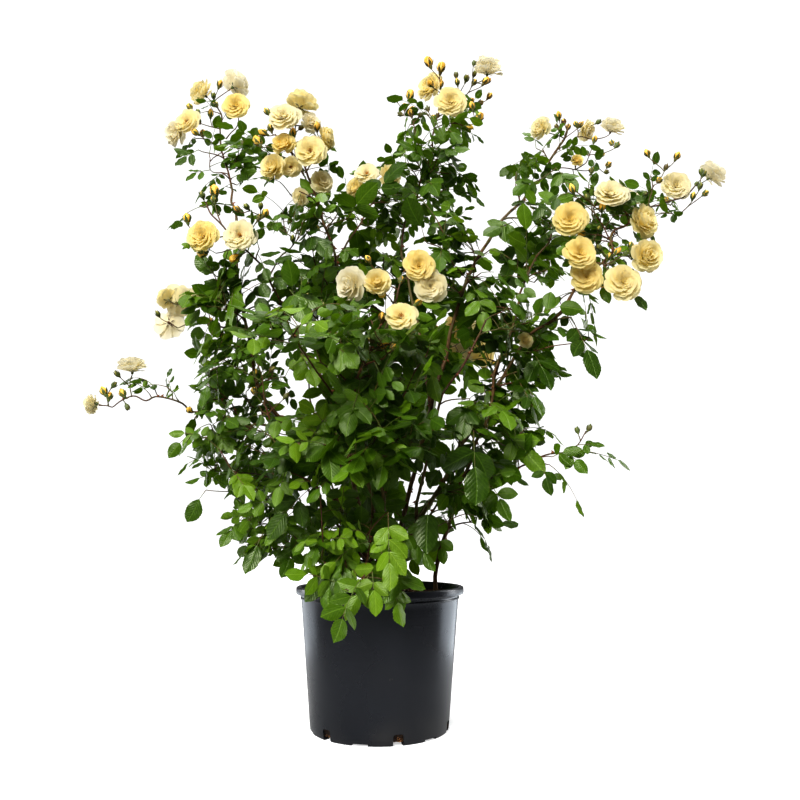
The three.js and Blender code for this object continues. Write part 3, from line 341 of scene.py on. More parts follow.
BUDS = [
    ('blooms_upper_left', 0.68, 0.26, 0.82, 'g'), ('blooms_upper_left', 0.59, 0.31, 0.39, 'g'), ('blooms_upper_left', 0.49, 0.51, 0.18, 'g'),
    ('blooms_upper_left', 0.35, 0.43, 0.55, 'g'), ('blooms_upper_left', 0.62, 0.26, 0.63, 'n'), ('blooms_upper_left', 0.45, 0.38, 0.44, 'n'),
    ('blooms_upper_left', 0.91, 0.40, -0.03, 'n'), ('blooms_upper_left', 0.97, 0.28, -0.15, 'n'), ('blooms_upper_left', 0.87, 0.49, -0.05, 'n'),
    ('blooms_second_left', 0.16, 0.29, 0.67, 'h'), ('blooms_second_left', 0.11, 0.38, 0.47, 'g'), ('blooms_second_left', 0.05, 0.42, 0.39, 'G'),
    ('blooms_second_left', 0.19, 0.39, 0.53, 'h'), ('blooms_second_left', 0.69, 0.44, 0.57, 'g'), ('blooms_second_left', 0.42, 0.48, 0.37, 'n'),
    ('blooms_second_left', 0.50, 0.55, 0.60, 'n'), ('blooms_second_left', 0.26, 0.34, 0.61, 'n'), ('blooms_second_left', 0.43, 0.46, 0.51, 'g'),
    ('blooms_left_pair', 0.28, 0.71, 1.21, 'G'), ('blooms_left_pair', 0.18, 0.58, 1.08, 'n'), ('blooms_left_pair', 0.05, 0.48, 0.68, 'g'),
    ('blooms_left_pair', 0.83, 0.81, 0.91, 'g'), ('blooms_left_pair', 0.81, 0.58, 0.91, 'n'), ('blooms_left_pair', 0.66, 0.58, 0.90, 'n'),
    ('blooms_left_pair', 0.17, 0.78, 0.28, 'G'), ('blooms_left_pair', 0.54, 0.68, 0.16, 'G'), ('blooms_left_pair', 0.55, 0.64, 0.89, 'h'),
    ('blooms_left_cluster', 0.18, 0.35, 0.47, 'n'), ('blooms_left_cluster', 0.89, 0.02, 0.04, 'g'), ('blooms_left_cluster', 1.03, 0.32, 0.34, 'g'),
    ('blooms_left_cluster', 1.23, 0.17, 0.09, 'g'), ('blooms_left_cluster', 1.01, 0.05, 0.58, 'n'), ('blooms_second_left', 0.67, 0.76, -0.47, 'g'),
    ('blooms_second_left', 0.51, 0.84, -0.50, 'n'), ('blooms_left_pair', 1.09, 1.23, 0.68, 'n'), ('blooms_top', 0.32, 0.55, 0.95, 'G'),
    ('blooms_top', 0.43, 0.44, 0.82, 'G'), ('blooms_top', 0.57, 0.59, 0.79, 'n'), ('blooms_top', 0.58, 0.58, 0.69, 'h'),
    ('blooms_top', 0.33, 0.42, 0.59, 'g'), ('blooms_top', 0.43, 0.62, 0.69, 'g'), ('blooms_top', 0.02, 0.56, 0.45, 'n'),
    ('blooms_top', 0.15, 0.57, 0.51, 'G'), ('blooms_top', 0.10, 0.61, 0.37, 'g'), ('blooms_top', 0.17, 0.48, 0.27, 'g'),
    ('blooms_top', 0.06, 0.59, 0.26, 'n'), ('blooms_top', 0.31, 0.63, 0.35, 'n'), ('blooms_top', 0.24, 0.38, 0.15, 'n'),
    ('blooms_top', 0.36, 0.62, 0.22, 'g'), ('blooms_top', 0.66, 0.47, 0.68, 'h'), ('blooms_top', 0.73, 0.50, 0.76, 'n'),
    ('blooms_top', 0.65, 0.39, 0.65, 'n'), ('blooms_top', 0.70, 0.57, 0.43, 'h'), ('blooms_top', 0.70, 0.44, 0.30, 'g'),
    ('blooms_top', 0.79, 0.63, 0.43, 'h'), ('blooms_top', 0.86, 0.43, 0.43, 'h'), ('blooms_top', 0.77, 0.53, 0.19, 'G'),
    ('blooms_top', 0.74, 0.68, 1.00, 'n'), ('blooms_top', 0.87, 0.75, 0.79, 'h'), ('blooms_top', 0.84, 0.61, 0.72, 'g'),
    ('blooms_upper_right', 0.39, 0.43, 0.79, 'g'), ('blooms_upper_right', 0.45, 0.62, 0.78, 'h'), ('blooms_upper_right', 0.39, 0.62, 0.68, 'n'),
    ('blooms_upper_right', 0.41, 0.56, 0.60, 'n'), ('blooms_upper_right', 0.75, 0.68, 0.81, 'n'), ('blooms_upper_right', 0.68, 0.44, 0.34, 'g'),
    ('blooms_upper_right', 0.85, 0.66, 0.39, 'g'), ('blooms_upper_right', 0.86, 0.42, 0.22, 'h'), ('blooms_upper_right', 0.56, 0.70, 0.78, 'h'),
    ('blooms_upper_right', 0.63, 0.58, 0.15, 'n'), ('blooms_upper_right', 0.66, 0.57, -0.18, 'g'), ('blooms_upper_right', 0.82, 0.70, -0.01, 'g'),
    ('blooms_upper_right', 0.79, 0.64, -0.18, 'n'), ('blooms_upper_right', 0.50, 0.64, -0.50, 'h'), ('blooms_upper_right', 0.56, 0.38, 0.58, 'h'),
    ('blooms_far_right', -0.07, 0.11, 0.88, 'g'), ('blooms_far_right', 0.26, -0.01, 0.78, 'g'), ('blooms_far_right', 0.13, 0.04, 0.61, 'n'),
    ('blooms_far_right', 0.04, 0.05, 0.40, 'g'), ('blooms_far_right', 0.16, 0.31, 0.17, 'g'), ('blooms_far_right', 0.54, 0.01, 0.52, 'n'),
    ('blooms_far_right', 0.53, 0.08, 0.31, 'n'), ('blooms_far_right', 0.46, 0.16, 0.18, 'h'), ('blooms_far_right', 0.65, 0.31, 0.61, 'n'),
    ('blooms_far_right', -0.07, 0.36, 0.30, 'n'), ('blooms_right', 0.69, 0.49, 0.41, 'g'), ('blooms_right', 0.54, 0.38, 0.57, 'n'),
    ('blooms_right', 0.79, 0.46, 0.38, 'h'), ('blooms_right', 0.57, 0.49, 0.12, 'g'), ('blooms_right', 0.46, 0.34, 0.83, 'n'),
    ('blooms_right', 0.38, 0.49, 0.97, 'g'), ('blooms_right', 0.58, 0.41, 0.78, 'g'), ('blooms_right', 0.64, 0.47, 0.30, 'n'),
    ('blooms_right', 0.62, 0.48, 0.36, 'h'), ('blooms_right', 0.56, 0.48, 0.44, 'n'), ('blooms_right', 0.78, 0.45, 0.45, 'h'),
    ('blooms_far_left_spray', 0.24, 0.55, 0.46, 'g'), ('blooms_far_left_spray', 0.37, 0.35, 0.54, 'n'), ('blooms_far_left_spray', 0.31, 0.51, 0.36, 'h'),
    ('blooms_far_left_spray', 0.40, 0.31, 0.73, 'n'), ('blooms_far_left_spray', 0.43, 0.51, 0.42, 'g'), ('blooms_far_left_spray', 0.48, 0.54, 0.17, 'n'),
    ('blooms_far_left_spray', 1.71, 0.39, 0.44, 'g'), ('blooms_far_left_spray', 1.73, 0.18, 0.73, 'h'), ('blooms_far_left_spray', 1.90, -0.03, 0.75, 'n'),
    ('blooms_far_left_spray', 2.02, 0.26, 0.33, 'n'), ('blooms_far_left_spray', 1.13, 0.08, 0.06, 'h'), ('blooms_front', 0.34, 0.60, -0.17, 'G'),
    ('blooms_front', 0.14, 0.50, -0.14, 'h'), ('blooms_front', 0.13, 0.49, -0.25, 'n'), ('blooms_front', 0.44, 0.65, -0.20, 'g'),
    ('blooms_front', 0.20, 0.50, 0.89, 'h'), ('blooms_front', 0.33, 0.49, 0.43, 'g'), ('blooms_front', 0.67, 0.48, 0.32, 'g'),
    ('blooms_front', 0.33, 0.52, 0.15, 'h'), ('blooms_front', 0.24, 0.41, -0.18, 'n'), ('blooms_right', 0.47, 0.71, -1.05, 'n'),
    ('blooms_right', 0.40, 0.80, -1.06, 'n'),
]
GAPS = [
    ('upper_right_stem', 1.45, 2.05, 45), ('top_stem', -0.75, 1.55, 45), ('upper_right_stem', 0.25, 1.10, 45), ('top_stem', -0.55, 1.20, 40),
    ('upper_left_stem', 2.00, 2.05, 40), ('top_stem', 0.15, 2.00, 40), ('upper_left_stem', -0.85, 1.65, 40), ('upper_right_stem', -0.05, 0.75, 40),
    ('top_stem', 0.90, 2.35, 40), ('low_left', -0.85, 1.20, 40), ('upper_right_stem', 0.25, 1.75, 40), ('top_stem', -0.20, 1.20, 40),
    ('upper_left_stem', -0.75, -0.25, 40), ('right_arm', 3.60, 2.55, 35), ('top_stem', 0.25, 2.35, 35), ('upper_left_stem', -0.45, -0.05, 35),
    ('low_left', -0.50, 0.50, 35), ('upper_right_stem', 0.80, 2.05, 35), ('low_right', 0.95, -0.15, 35), ('foot_right', 0.55, -0.05, 35),
    ('upper_right_stem', 0.35, 2.25, 35), ('upper_left', -0.50, 1.20, 35), ('upper_left_stem', -0.30, 0.20, 35), ('upper_left', -0.35, 1.00, 35),
    ('right_arm', 1.40, 0.45, 35), ('low_left', -1.05, 1.05, 35), ('upper_left', -0.10, 0.80, 35), ('upper_right_stem', 2.30, 1.35, 35),
    ('upper_left_stem', -1.00, 1.00, 35), ('upper_right_stem', 1.10, 2.15, 35), ('foot_left', 0.30, -0.20, 35), ('right_arm', 2.25, 0.70, 35),
    ('right_arm', 2.75, 0.55, 35), ('right_arm', 2.45, 1.15, 35), ('right_arm', 1.10, -0.45, 35), ('low_right_spray', 1.05, 0.90, 30),
    ('right_arm', 1.00, 0.20, 30), ('upper_left_stem', -1.00, 1.30, 30), ('foot_right', 0.45, 0.15, 30), ('low_right', 0.70, -0.05, 30),
    ('right_arm', 3.15, 2.40, 30), ('second_left_stem', 1.00, 1.40, 30), ('mid_right', 1.05, 0.05, 30), ('foot_left', -0.05, 0.20, 30),
    ('right_arm', 2.10, 1.15, 30), ('right_arm', 1.05, 0.75, 30), ('upper_left_stem', -0.15, 0.35, 30), ('upper_left_stem', 1.05, 1.80, 30),
    ('upper_right_stem', 0.50, 1.80, 30), ('upper_left_stem', -0.70, 0.50, 30), ('upper_left_stem', 0.65, 2.30, 30), ('low_right_spray', 0.75, 0.15, 30),
    ('upper_left', -0.50, 0.45, 30), ('upper_left_stem', -0.60, 1.95, 30), ('upper_left_stem', 1.50, 2.00, 30), ('upper_right', 2.45, 1.50, 30),
    ('upper_right_stem', 1.80, 2.05, 30), ('mid_left', -0.30, 0.65, 25), ('mid_right', 0.90, 0.00, 25), ('foot_left', 0.40, -0.05, 25),
    ('foot_right', 1.05, 0.15, 25), ('mid_left', -0.05, 0.55, 25), ('second_left_stem', 0.20, 0.70, 25), ('top_stem', -0.05, 1.20, 25),
    ('upper_right', 1.75, 1.30, 25), ('right_arm', 0.00, 0.20, 25), ('right_arm', 2.45, 2.10, 25), ('upper_right', 1.70, 1.45, 25),
    ('upper_right_stem', 0.45, 1.50, 25), ('low_right_spray', 0.70, -0.30, 25), ('right_arm', 0.70, -0.35, 35), ('right_arm', 0.30, -0.20, 25),
]


# ---------------------------------------------------------------- small tools


def place(node, fx, fy, fz):
    low, high = BOX[node]
    return low + (high - low) * np.array([fx, fy, fz])


def unit(v):
    v = np.asarray(v, float)
    n = np.linalg.norm(v, axis=-1, keepdims=True)
    return v / np.maximum(n, 1e-9)


def smooth(a, b, x):
    t = np.clip((x - a) / (b - a), 0, 1)
    return t * t * (3 - 2 * t)


def across(d):
    """Two unit vectors square to d and to each other."""
    d = unit(d)
    a = np.array([0.0, 0.0, 1.0]) if abs(d[2]) < 0.9 else np.array([1.0, 0.0, 0.0])
    x = unit(np.cross(d, a))
    return x, np.cross(d, x)


def spline(points, step):
    """Points about step apart along a centripetal curve through the given points."""
    P = np.array(points, float)
    P = np.vstack([2 * P[0] - P[1], P, 2 * P[-1] - P[-2]])
    out = []
    for i in range(1, len(P) - 2):
        a, b, c, d = P[i - 1], P[i], P[i + 1], P[i + 2]
        n = max(2, int(np.linalg.norm(c - b) / step))
        ta = 0.0
        tb = ta + max(np.linalg.norm(b - a), 1e-6) ** 0.5
        tc = tb + max(np.linalg.norm(c - b), 1e-6) ** 0.5
        td = tc + max(np.linalg.norm(d - c), 1e-6) ** 0.5
        t = np.linspace(tb, tc, n, endpoint=False)[:, None]
        A1 = (tb - t) / (tb - ta) * a + (t - ta) / (tb - ta) * b
        A2 = (tc - t) / (tc - tb) * b + (t - tb) / (tc - tb) * c
        A3 = (td - t) / (td - tc) * c + (t - tc) / (td - tc) * d
        B1 = (tc - t) / (tc - ta) * A1 + (t - ta) / (tc - ta) * A2
        B2 = (td - t) / (td - tb) * A2 + (t - tb) / (td - tb) * A3
        out.append((tc - t) / (tc - tb) * B1 + (t - tb) / (tc - tb) * B2)
    out.append(P[-2][None])
    return np.vstack(out)


def bezier(p0, p1, p2, p3, n):
    t = np.linspace(0, 1, n)[:, None]
    return (1 - t) ** 3 * p0 + 3 * (1 - t) ** 2 * t * p1 + 3 * (1 - t) * t**2 * p2 + t**3 * p3


def tangents(path):
    d = np.gradient(path, axis=0)
    return unit(d)


class Heap:
    """Vertices, triangles, quads and UVs that become one mesh."""

    def __init__(self):
        self.v, self.t, self.q, self.uv, self.n = [], [], [], [], 0

    def add(self, verts, tris=None, quads=None, uv=None):
        verts = np.asarray(verts, float).reshape(-1, 3)
        if tris is not None and len(tris):
            self.t.append(np.asarray(tris, int).reshape(-1, 3) + self.n)
        if quads is not None and len(quads):
            self.q.append(np.asarray(quads, int).reshape(-1, 4) + self.n)
        self.v.append(verts)
        self.uv.append(np.zeros((len(verts), 2)) if uv is None else np.asarray(uv, float).reshape(-1, 2))
        self.n += len(verts)

    def many(self, verts, tris, uv):
        """verts (k, n, 3), tris (m, 3) and uv (k, n, 2): k copies of one small mesh."""
        k, n, _ = verts.shape
        if k == 0:
            return
        tt = (tris[None] + (np.arange(k) * n)[:, None, None]).reshape(-1, 3) + self.n
        self.t.append(tt)
        self.v.append(verts.reshape(-1, 3))
        self.uv.append(uv.reshape(-1, 2))
        self.n += k * n

    def triangles(self):
        return sum(len(t) for t in self.t) + 2 * sum(len(q) for q in self.q)

    def mesh(self, name, with_uv=False):
        me = bpy.data.meshes.new(name)
        v = np.vstack(self.v).astype(np.float32)
        parts = [(np.vstack(a), k) for a, k in ((self.t, 3), (self.q, 4)) if a]
        loops = np.concatenate([a.ravel() for a, _ in parts]).astype(np.int32)
        total = np.concatenate([np.full(len(a), k, np.int32) for a, k in parts])
        start = np.concatenate([[0], np.cumsum(total)[:-1]]).astype(np.int32)
        me.vertices.add(len(v))
        me.vertices.foreach_set("co", v.ravel())
        me.loops.add(len(loops))
        me.loops.foreach_set("vertex_index", loops)
        me.polygons.add(len(total))
        me.polygons.foreach_set("loop_start", start)
        me.polygons.foreach_set("loop_total", total)
        me.polygons.foreach_set("use_smooth", np.ones(len(total), bool))
        if with_uv:
            layer = me.uv_layers.new(name="OFBake")
            uv = np.vstack(self.uv).astype(np.float32)
            layer.data.foreach_set("uv", uv[loops].ravel())
        me.update(calc_edges=True)
        me.validate()
        return me


def piece(heap, name, material, nodes, with_uv=False):
    if heap.n == 0:
        return None
    me = heap.mesh(name, with_uv)
    ob = bpy.data.objects.new(name, me)
    bpy.context.scene.collection.objects.link(ob)
    me.materials.append(material)
    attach(ob, "root")
    if nodes:
        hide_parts(*nodes)
    print("piece", name, heap.triangles())
    return ob


def tube(heap, path, radius, sides, tip=True, relief=None, twist=0.0):
    """A limb of round section along path. relief(angle, along) scales the radius."""
    path = np.asarray(path, float)
    n = len(path)
    radius = np.broadcast_to(np.asarray(radius, float), (n,))
    t = tangents(path)
    x, y = across(t[0])
    X = np.zeros((n, 3))
    X[0] = x
    for i in range(1, n):
        v = X[i - 1] - t[i] * np.dot(X[i - 1], t[i])
        X[i] = unit(v)
    Y = np.cross(t, X)
    a = np.linspace(0, 2 * math.pi, sides, endpoint=False)
    s = np.concatenate([[0], np.cumsum(np.linalg.norm(np.diff(path, axis=0), axis=1))])
    ang = a[None, :] + twist * s[:, None]
    k = np.ones((n, sides)) if relief is None else relief(ang, s[:, None] * np.ones((1, sides)))
    r = radius[:, None] * k
    v = path[:, None] + r[..., None] * (np.cos(ang)[..., None] * X[:, None] + np.sin(ang)[..., None] * Y[:, None])
    i = np.arange(n - 1)[:, None] * sides
    j = np.arange(sides)[None, :]
    j2 = (j + 1) % sides
    quads = np.stack([i + j, i + j2, i + sides + j2, i + sides + j], -1).reshape(-1, 4)
    verts = v.reshape(-1, 3)
    tris = []
    if tip:
        top = path[-1] + t[-1] * radius[-1] * 0.7
        foot = path[0] - t[0] * radius[0] * 0.2
        verts = np.vstack([verts, top, foot])
        last = (n - 1) * sides
        tris = [[last + q, last + (q + 1) % sides, n * sides] for q in range(sides)]
        tris += [[(q + 1) % sides, q, n * sides + 1] for q in range(sides)]
    heap.add(verts, tris, quads)


# ---------------------------------------------------------------- materials


def material(name):
    m = bpy.data.materials.new(name)
    m.use_nodes = True
    nt = m.node_tree
    nt.nodes.clear()
    out = nt.nodes.new("ShaderNodeOutputMaterial")
    bs = nt.nodes.new("ShaderNodeBsdfPrincipled")
    nt.links.new(bs.outputs[0], out.inputs[0])
    return m, nt, bs, out


class Nodes:
    """Short names for the shader nodes used over and over."""

    def __init__(self, nt):
        self.nt = nt

    def new(self, kind, **props):
        n = self.nt.nodes.new(kind)
        for k, v in props.items():
            setattr(n, k, v)
        return n

    def link(self, a, b):
        self.nt.links.new(a, b)

    def feed(self, socket, value):
        if isinstance(value, bpy.types.NodeSocket):
            self.link(value, socket)
        else:
            socket.default_value = value

    def math(self, op, a, b=0.0, c=None, clamp=False):
        n = self.new("ShaderNodeMath", operation=op, use_clamp=clamp)
        self.feed(n.inputs[0], a)
        self.feed(n.inputs[1], b)
        if c is not None:
            self.feed(n.inputs[2], c)
        return n.outputs[0]

    def range(self, value, a, b, lo=0.0, hi=1.0):
        n = self.new("ShaderNodeMapRange", interpolation_type="SMOOTHSTEP")
        self.feed(n.inputs["Value"], value)
        for key, v in (("From Min", a), ("From Max", b), ("To Min", lo), ("To Max", hi)):
            self.feed(n.inputs[key], v)
        return n.outputs["Result"]

    def mix(self, fac, a, b, blend="MIX"):
        n = self.new("ShaderNodeMix", data_type="RGBA", blend_type=blend)
        self.feed(n.inputs["Factor"], fac)
        for i, v in ((6, a), (7, b)):
            self.feed(n.inputs[i], v)
        return n.outputs[2]

    def noise(self, vector, scale, detail=3.0, rough=0.5, distortion=0.0):
        n = self.new("ShaderNodeTexNoise")
        self.link(vector, n.inputs["Vector"])
        n.inputs["Scale"].default_value = scale
        n.inputs["Detail"].default_value = detail
        n.inputs["Roughness"].default_value = rough
        n.inputs["Distortion"].default_value = distortion
        return n.outputs["Fac"]

    def stretch(self, vector, sx, sy, sz, loc=(0, 0, 0)):
        n = self.new("ShaderNodeMapping")
        self.link(vector, n.inputs["Vector"])
        n.inputs["Scale"].default_value = (sx, sy, sz)
        n.inputs["Location"].default_value = loc
        return n.outputs[0]

    def object_space(self):
        return self.new("ShaderNodeTexCoord").outputs["Object"]

    def uv_cells(self):
        """Place within one cell of the four by four sheet, the cell's row, and a number of its own."""
        uv = self.new("ShaderNodeUVMap", uv_map="OFBake").outputs[0]
        sep = self.new("ShaderNodeSeparateXYZ")
        self.link(uv, sep.inputs[0])
        x = self.math("MULTIPLY", sep.outputs[0], 4.0)
        y = self.math("MULTIPLY", sep.outputs[1], 4.0)
        fx, fy = self.math("FLOOR", x), self.math("FLOOR", y)
        cell = self.new("ShaderNodeCombineXYZ")
        self.link(fx, cell.inputs[0])
        self.link(fy, cell.inputs[1])
        white = self.new("ShaderNodeTexWhiteNoise", noise_dimensions="3D")
        self.link(cell.outputs[0], white.inputs["Vector"])
        return self.math("FRACT", x), self.math("FRACT", y), fy, white.outputs["Value"], uv

    def bump(self, height, strength, distance, shader):
        n = self.new("ShaderNodeBump")
        n.inputs["Strength"].default_value = strength
        n.inputs["Distance"].default_value = distance
        self.link(height, n.inputs["Height"])
        self.link(n.outputs[0], shader.inputs["Normal"])
        return n.outputs[0]


def thin(nt, N, bs, out, colour, amount, normal=None):
    """Light also passes through a thin blade or petal."""
    tr = N.new("ShaderNodeBsdfTranslucent")
    N.feed(tr.inputs["Color"], colour)
    if normal is not None:
        N.link(normal, tr.inputs["Normal"])
    mx = N.new("ShaderNodeMixShader")
    mx.inputs[0].default_value = amount
    N.link(bs.outputs[0], mx.inputs[1])
    N.link(tr.outputs[0], mx.inputs[2])
    N.link(mx.outputs[0], out.inputs[0])


def leaf_material(name, blade, vein, glow, rough):
    m, nt, bs, out = material(name)
    N = Nodes(nt)
    lu, lv, row, own, uv = N.uv_cells()
    a = N.math("ABSOLUTE", N.math("SUBTRACT", lu, 0.5))
    rib = N.range(a, 0.008, 0.034, 1.0, 0.0)
    s = N.math("MULTIPLY", N.math("SUBTRACT", lv, N.math("MULTIPLY", a, 0.72)), 8.6)
    saw = N.math("MULTIPLY", N.math("ABSOLUTE", N.math("SUBTRACT", N.math("FRACT", s), 0.5)), 2.0)
    side = N.math("MULTIPLY", N.range(saw, 0.76, 1.0), N.range(a, 0.36, 0.46, 1.0, 0.2))
    veins = N.math("MAXIMUM", rib, N.math("MULTIPLY", side, 0.5))
    mottle = N.noise(uv, 34.0, 4.0, 0.6)
    fine = N.noise(uv, 190.0, 2.0, 0.5)
    shade = N.math("ADD", N.math("MULTIPLY", own, 0.42), N.math("MULTIPLY", mottle, 0.5))
    dark = tuple(c * 0.52 for c in blade[:3]) + (1,)
    light = tuple(min(1, c * 1.40) for c in blade[:3]) + (1,)
    body = N.mix(shade, dark, light)
    body = N.mix(N.math("MULTIPLY", N.math("MULTIPLY", fine, 0.30), N.range(mottle, 0.45, 0.62)), body, vein)
    edge = N.range(a, 0.40, 0.49)
    body = N.mix(N.math("MULTIPLY", edge, 0.22), body, (0.20, 0.13, 0.03, 1))
    colour = N.mix(N.math("MULTIPLY", veins, 0.62), body, vein)
    N.link(colour, bs.inputs["Base Color"])
    bs.inputs["Roughness"].default_value = rough
    bs.inputs["Specular IOR Level"].default_value = 0.50
    bs.inputs["Specular Tint"].default_value = (0.88, 0.97, 0.62, 1)
    height = N.math("SUBTRACT", N.math("MULTIPLY", N.math("SUBTRACT", 1.0, N.math("POWER", saw, 2.0)), 0.5), N.math("MULTIPLY", rib, 0.7))
    height = N.math("ADD", height, N.math("MULTIPLY", mottle, 0.5))
    normal = N.bump(height, 0.42, 0.0011, bs)
    thin(nt, N, bs, out, glow, 0.17, normal)
    return m


def petal_material(name, heart, body, rim, glow, amount=0.36):
    m, nt, bs, out = material(name)
    N = Nodes(nt)
    lu, lv, row, own, uv = N.uv_cells()
    a = N.math("ABSOLUTE", N.math("SUBTRACT", lu, 0.5))
    long_grain = N.noise(N.stretch(uv, 150.0, 9.0, 1.0), 1.0, 3.0, 0.55)
    cloud = N.noise(uv, 16.0, 3.0, 0.55)
    depth = N.math("MULTIPLY", row, 0.115)
    reach = N.math("ADD", N.math("MULTIPLY", cloud, 0.30), depth)
    along = N.math("SUBTRACT", lv, reach)
    base = N.mix(N.range(along, -0.05, 0.44), heart, body)
    tip = N.mix(N.math("MULTIPLY", N.range(lv, 0.62, 1.0), N.math("ADD", 0.45, N.math("MULTIPLY", own, 0.5))), base, rim)
    streak = N.math("MULTIPLY", N.range(long_grain, 0.48, 0.72), N.range(lv, 0.05, 0.9, 0.40, 0.16))
    colour = N.mix(streak, tip, heart)
    edge = N.math("MULTIPLY", N.range(a, 0.43, 0.495), 0.16)
    colour = N.mix(edge, colour, heart)
    N.link(colour, bs.inputs["Base Color"])
    bs.inputs["Roughness"].default_value = 0.58
    bs.inputs["Specular IOR Level"].default_value = 0.25
    thin(nt, N, bs, out, glow, amount)
    return m


def bark_material(name, dark, light, fleck, scale, rough, fleck_at=0.62, strength=0.5):
    """Stem skin: long streaks, small pores and a few flecks, in the plant's own space."""
    m, nt, bs, out = material(name)
    N = Nodes(nt)
    o = N.object_space()
    streaks = N.noise(N.stretch(o, 2.6, 2.6, 0.7), scale, 5.0, 0.62, 0.3)
    pores = N.noise(o, scale * 5.5, 3.0, 0.6)
    big = N.noise(o, scale * 0.10, 2.0, 0.5)
    body = N.mix(N.range(streaks, 0.34, 0.66), dark, light)
    body = N.mix(N.math("MULTIPLY", N.range(big, 0.42, 0.62), 0.65), body, fleck)
    colour = N.mix(N.math("MULTIPLY", N.range(pores, fleck_at, fleck_at + 0.12), 0.6), body, light)
    N.link(colour, bs.inputs["Base Color"])
    N.link(N.range(pores, 0.3, 0.7, rough - 0.08, rough + 0.1), bs.inputs["Roughness"])
    bs.inputs["Specular IOR Level"].default_value = 0.22
    N.bump(N.math("ADD", streaks, N.math("MULTIPLY", pores, 0.5)), strength, 0.0012, bs)
    return m


def pot_material():
    m, nt, bs, out = material("nursery_pot_plastic")
    N = Nodes(nt)
    o = N.object_space()
    cloudy = N.noise(o, 9.0, 4.0, 0.55)
    grain = N.noise(o, 420.0, 2.0, 0.5)
    rings = N.noise(N.stretch(o, 6.0, 6.0, 260.0), 1.0, 3.0, 0.55)
    dust_a = N.noise(o, 95.0, 5.0, 0.68)
    patch = N.noise(o, 7.5, 3.0, 0.5)
    scuff = N.noise(N.stretch(o, 11.0, 11.0, 150.0, (0.3, 0.1, 0.0)), 1.0, 4.0, 0.6, 0.4)
    sep = N.new("ShaderNodeSeparateXYZ")
    N.link(o, sep.inputs[0])
    low = N.range(sep.outputs[2], 0.002, 0.05, 1.0, 0.0)
    body = N.mix(cloudy, (0.0034, 0.0037, 0.0052, 1), (0.0064, 0.0068, 0.0094, 1))
    specks = N.math("MULTIPLY", N.range(dust_a, 0.69, 0.76), N.range(patch, 0.44, 0.62))
    body = N.mix(N.math("MULTIPLY", specks, 0.75), body, (0.17, 0.14, 0.105, 1))
    film = N.math("MULTIPLY", N.range(patch, 0.40, 0.80), N.math("ADD", 0.05, N.math("MULTIPLY", low, 0.22)))
    body = N.mix(film, body, (0.085, 0.075, 0.060, 1))
    marks = N.math("MULTIPLY", N.range(scuff, 0.70, 0.78), N.range(patch, 0.52, 0.60))
    colour = N.mix(N.math("MULTIPLY", marks, 0.5), body, (0.20, 0.20, 0.125, 1))
    N.link(colour, bs.inputs["Base Color"])
    wear = N.math("ADD", N.range(cloudy, 0.3, 0.7, 0.24, 0.33), N.math("MULTIPLY", specks, 0.3))
    wear = N.math("ADD", wear, N.math("MULTIPLY", marks, 0.2))
    N.link(wear, bs.inputs["Roughness"])
    bs.inputs["Specular IOR Level"].default_value = 0.5
    bs.inputs["Specular Tint"].default_value = (0.86, 0.91, 1.0, 1)
    h = N.math("ADD", N.math("MULTIPLY", rings, 0.35), N.math("MULTIPLY", grain, 0.25))
    h = N.math("ADD", h, N.math("MULTIPLY", specks, 1.4))
    N.bump(h, 0.20, 0.0009, bs)
    return m


def soil_material():
    m, nt, bs, out = material("compost_crumb")
    N = Nodes(nt)
    o = N.object_space()
    crumb = N.noise(o, 240.0, 5.0, 0.65)
    clod = N.noise(o, 46.0, 4.0, 0.6)
    fleck = N.noise(o, 520.0, 2.0, 0.5)
    body = N.mix(N.range(crumb, 0.35, 0.68), (0.008, 0.005, 0.004, 1), (0.045, 0.027, 0.018, 1))
    body = N.mix(N.math("MULTIPLY", N.range(clod, 0.5, 0.7), 0.55), body, (0.085, 0.045, 0.028, 1))
    colour = N.mix(N.math("MULTIPLY", N.range(fleck, 0.71, 0.76), 0.7), body, (0.42, 0.36, 0.30, 1))
    N.link(colour, bs.inputs["Base Color"])
    N.link(N.range(clod, 0.3, 0.7, 0.80, 0.98), bs.inputs["Roughness"])
    bs.inputs["Specular IOR Level"].default_value = 0.2
    N.bump(N.math("ADD", crumb, clod), 0.8, 0.003, bs)
    return m


def chip_material(name, a, b):
    m, nt, bs, out = material(name)
    N = Nodes(nt)
    o = N.object_space()
    g = N.noise(N.stretch(o, 1.0, 1.0, 3.0), 260.0, 4.0, 0.6)
    big = N.noise(o, 60.0, 1.0, 0.5)
    N.link(N.mix(N.math("ADD", N.math("MULTIPLY", g, 0.6), N.math("MULTIPLY", big, 0.5)), a, b), bs.inputs["Base Color"])
    N.link(N.range(g, 0.3, 0.7, 0.72, 0.92), bs.inputs["Roughness"])
    bs.inputs["Specular IOR Level"].default_value = 0.25
    N.bump(g, 0.6, 0.0012, bs)
    return m


def skin_material(name, low, high, spot, rough, scale=170.0, amount=0.35):
    """Buds, calyces and stamens: a mottled skin with small spots."""
    m, nt, bs, out = material(name)
    N = Nodes(nt)
    o = N.object_space()
    g = N.noise(o, scale, 3.0, 0.6)
    big = N.noise(o, scale * 0.16, 2.0, 0.5)
    body = N.mix(N.range(g, 0.32, 0.70), low, high)
    colour = N.mix(N.math("MULTIPLY", N.range(big, 0.44, 0.66), amount), body, spot)
    N.link(colour, bs.inputs["Base Color"])
    N.link(N.range(g, 0.3, 0.7, rough - 0.06, rough + 0.08), bs.inputs["Roughness"])
    bs.inputs["Specular IOR Level"].default_value = 0.35
    N.bump(g, 0.35, 0.0008, bs)
    return m


# ---------------------------------------------------------------- the skeleton


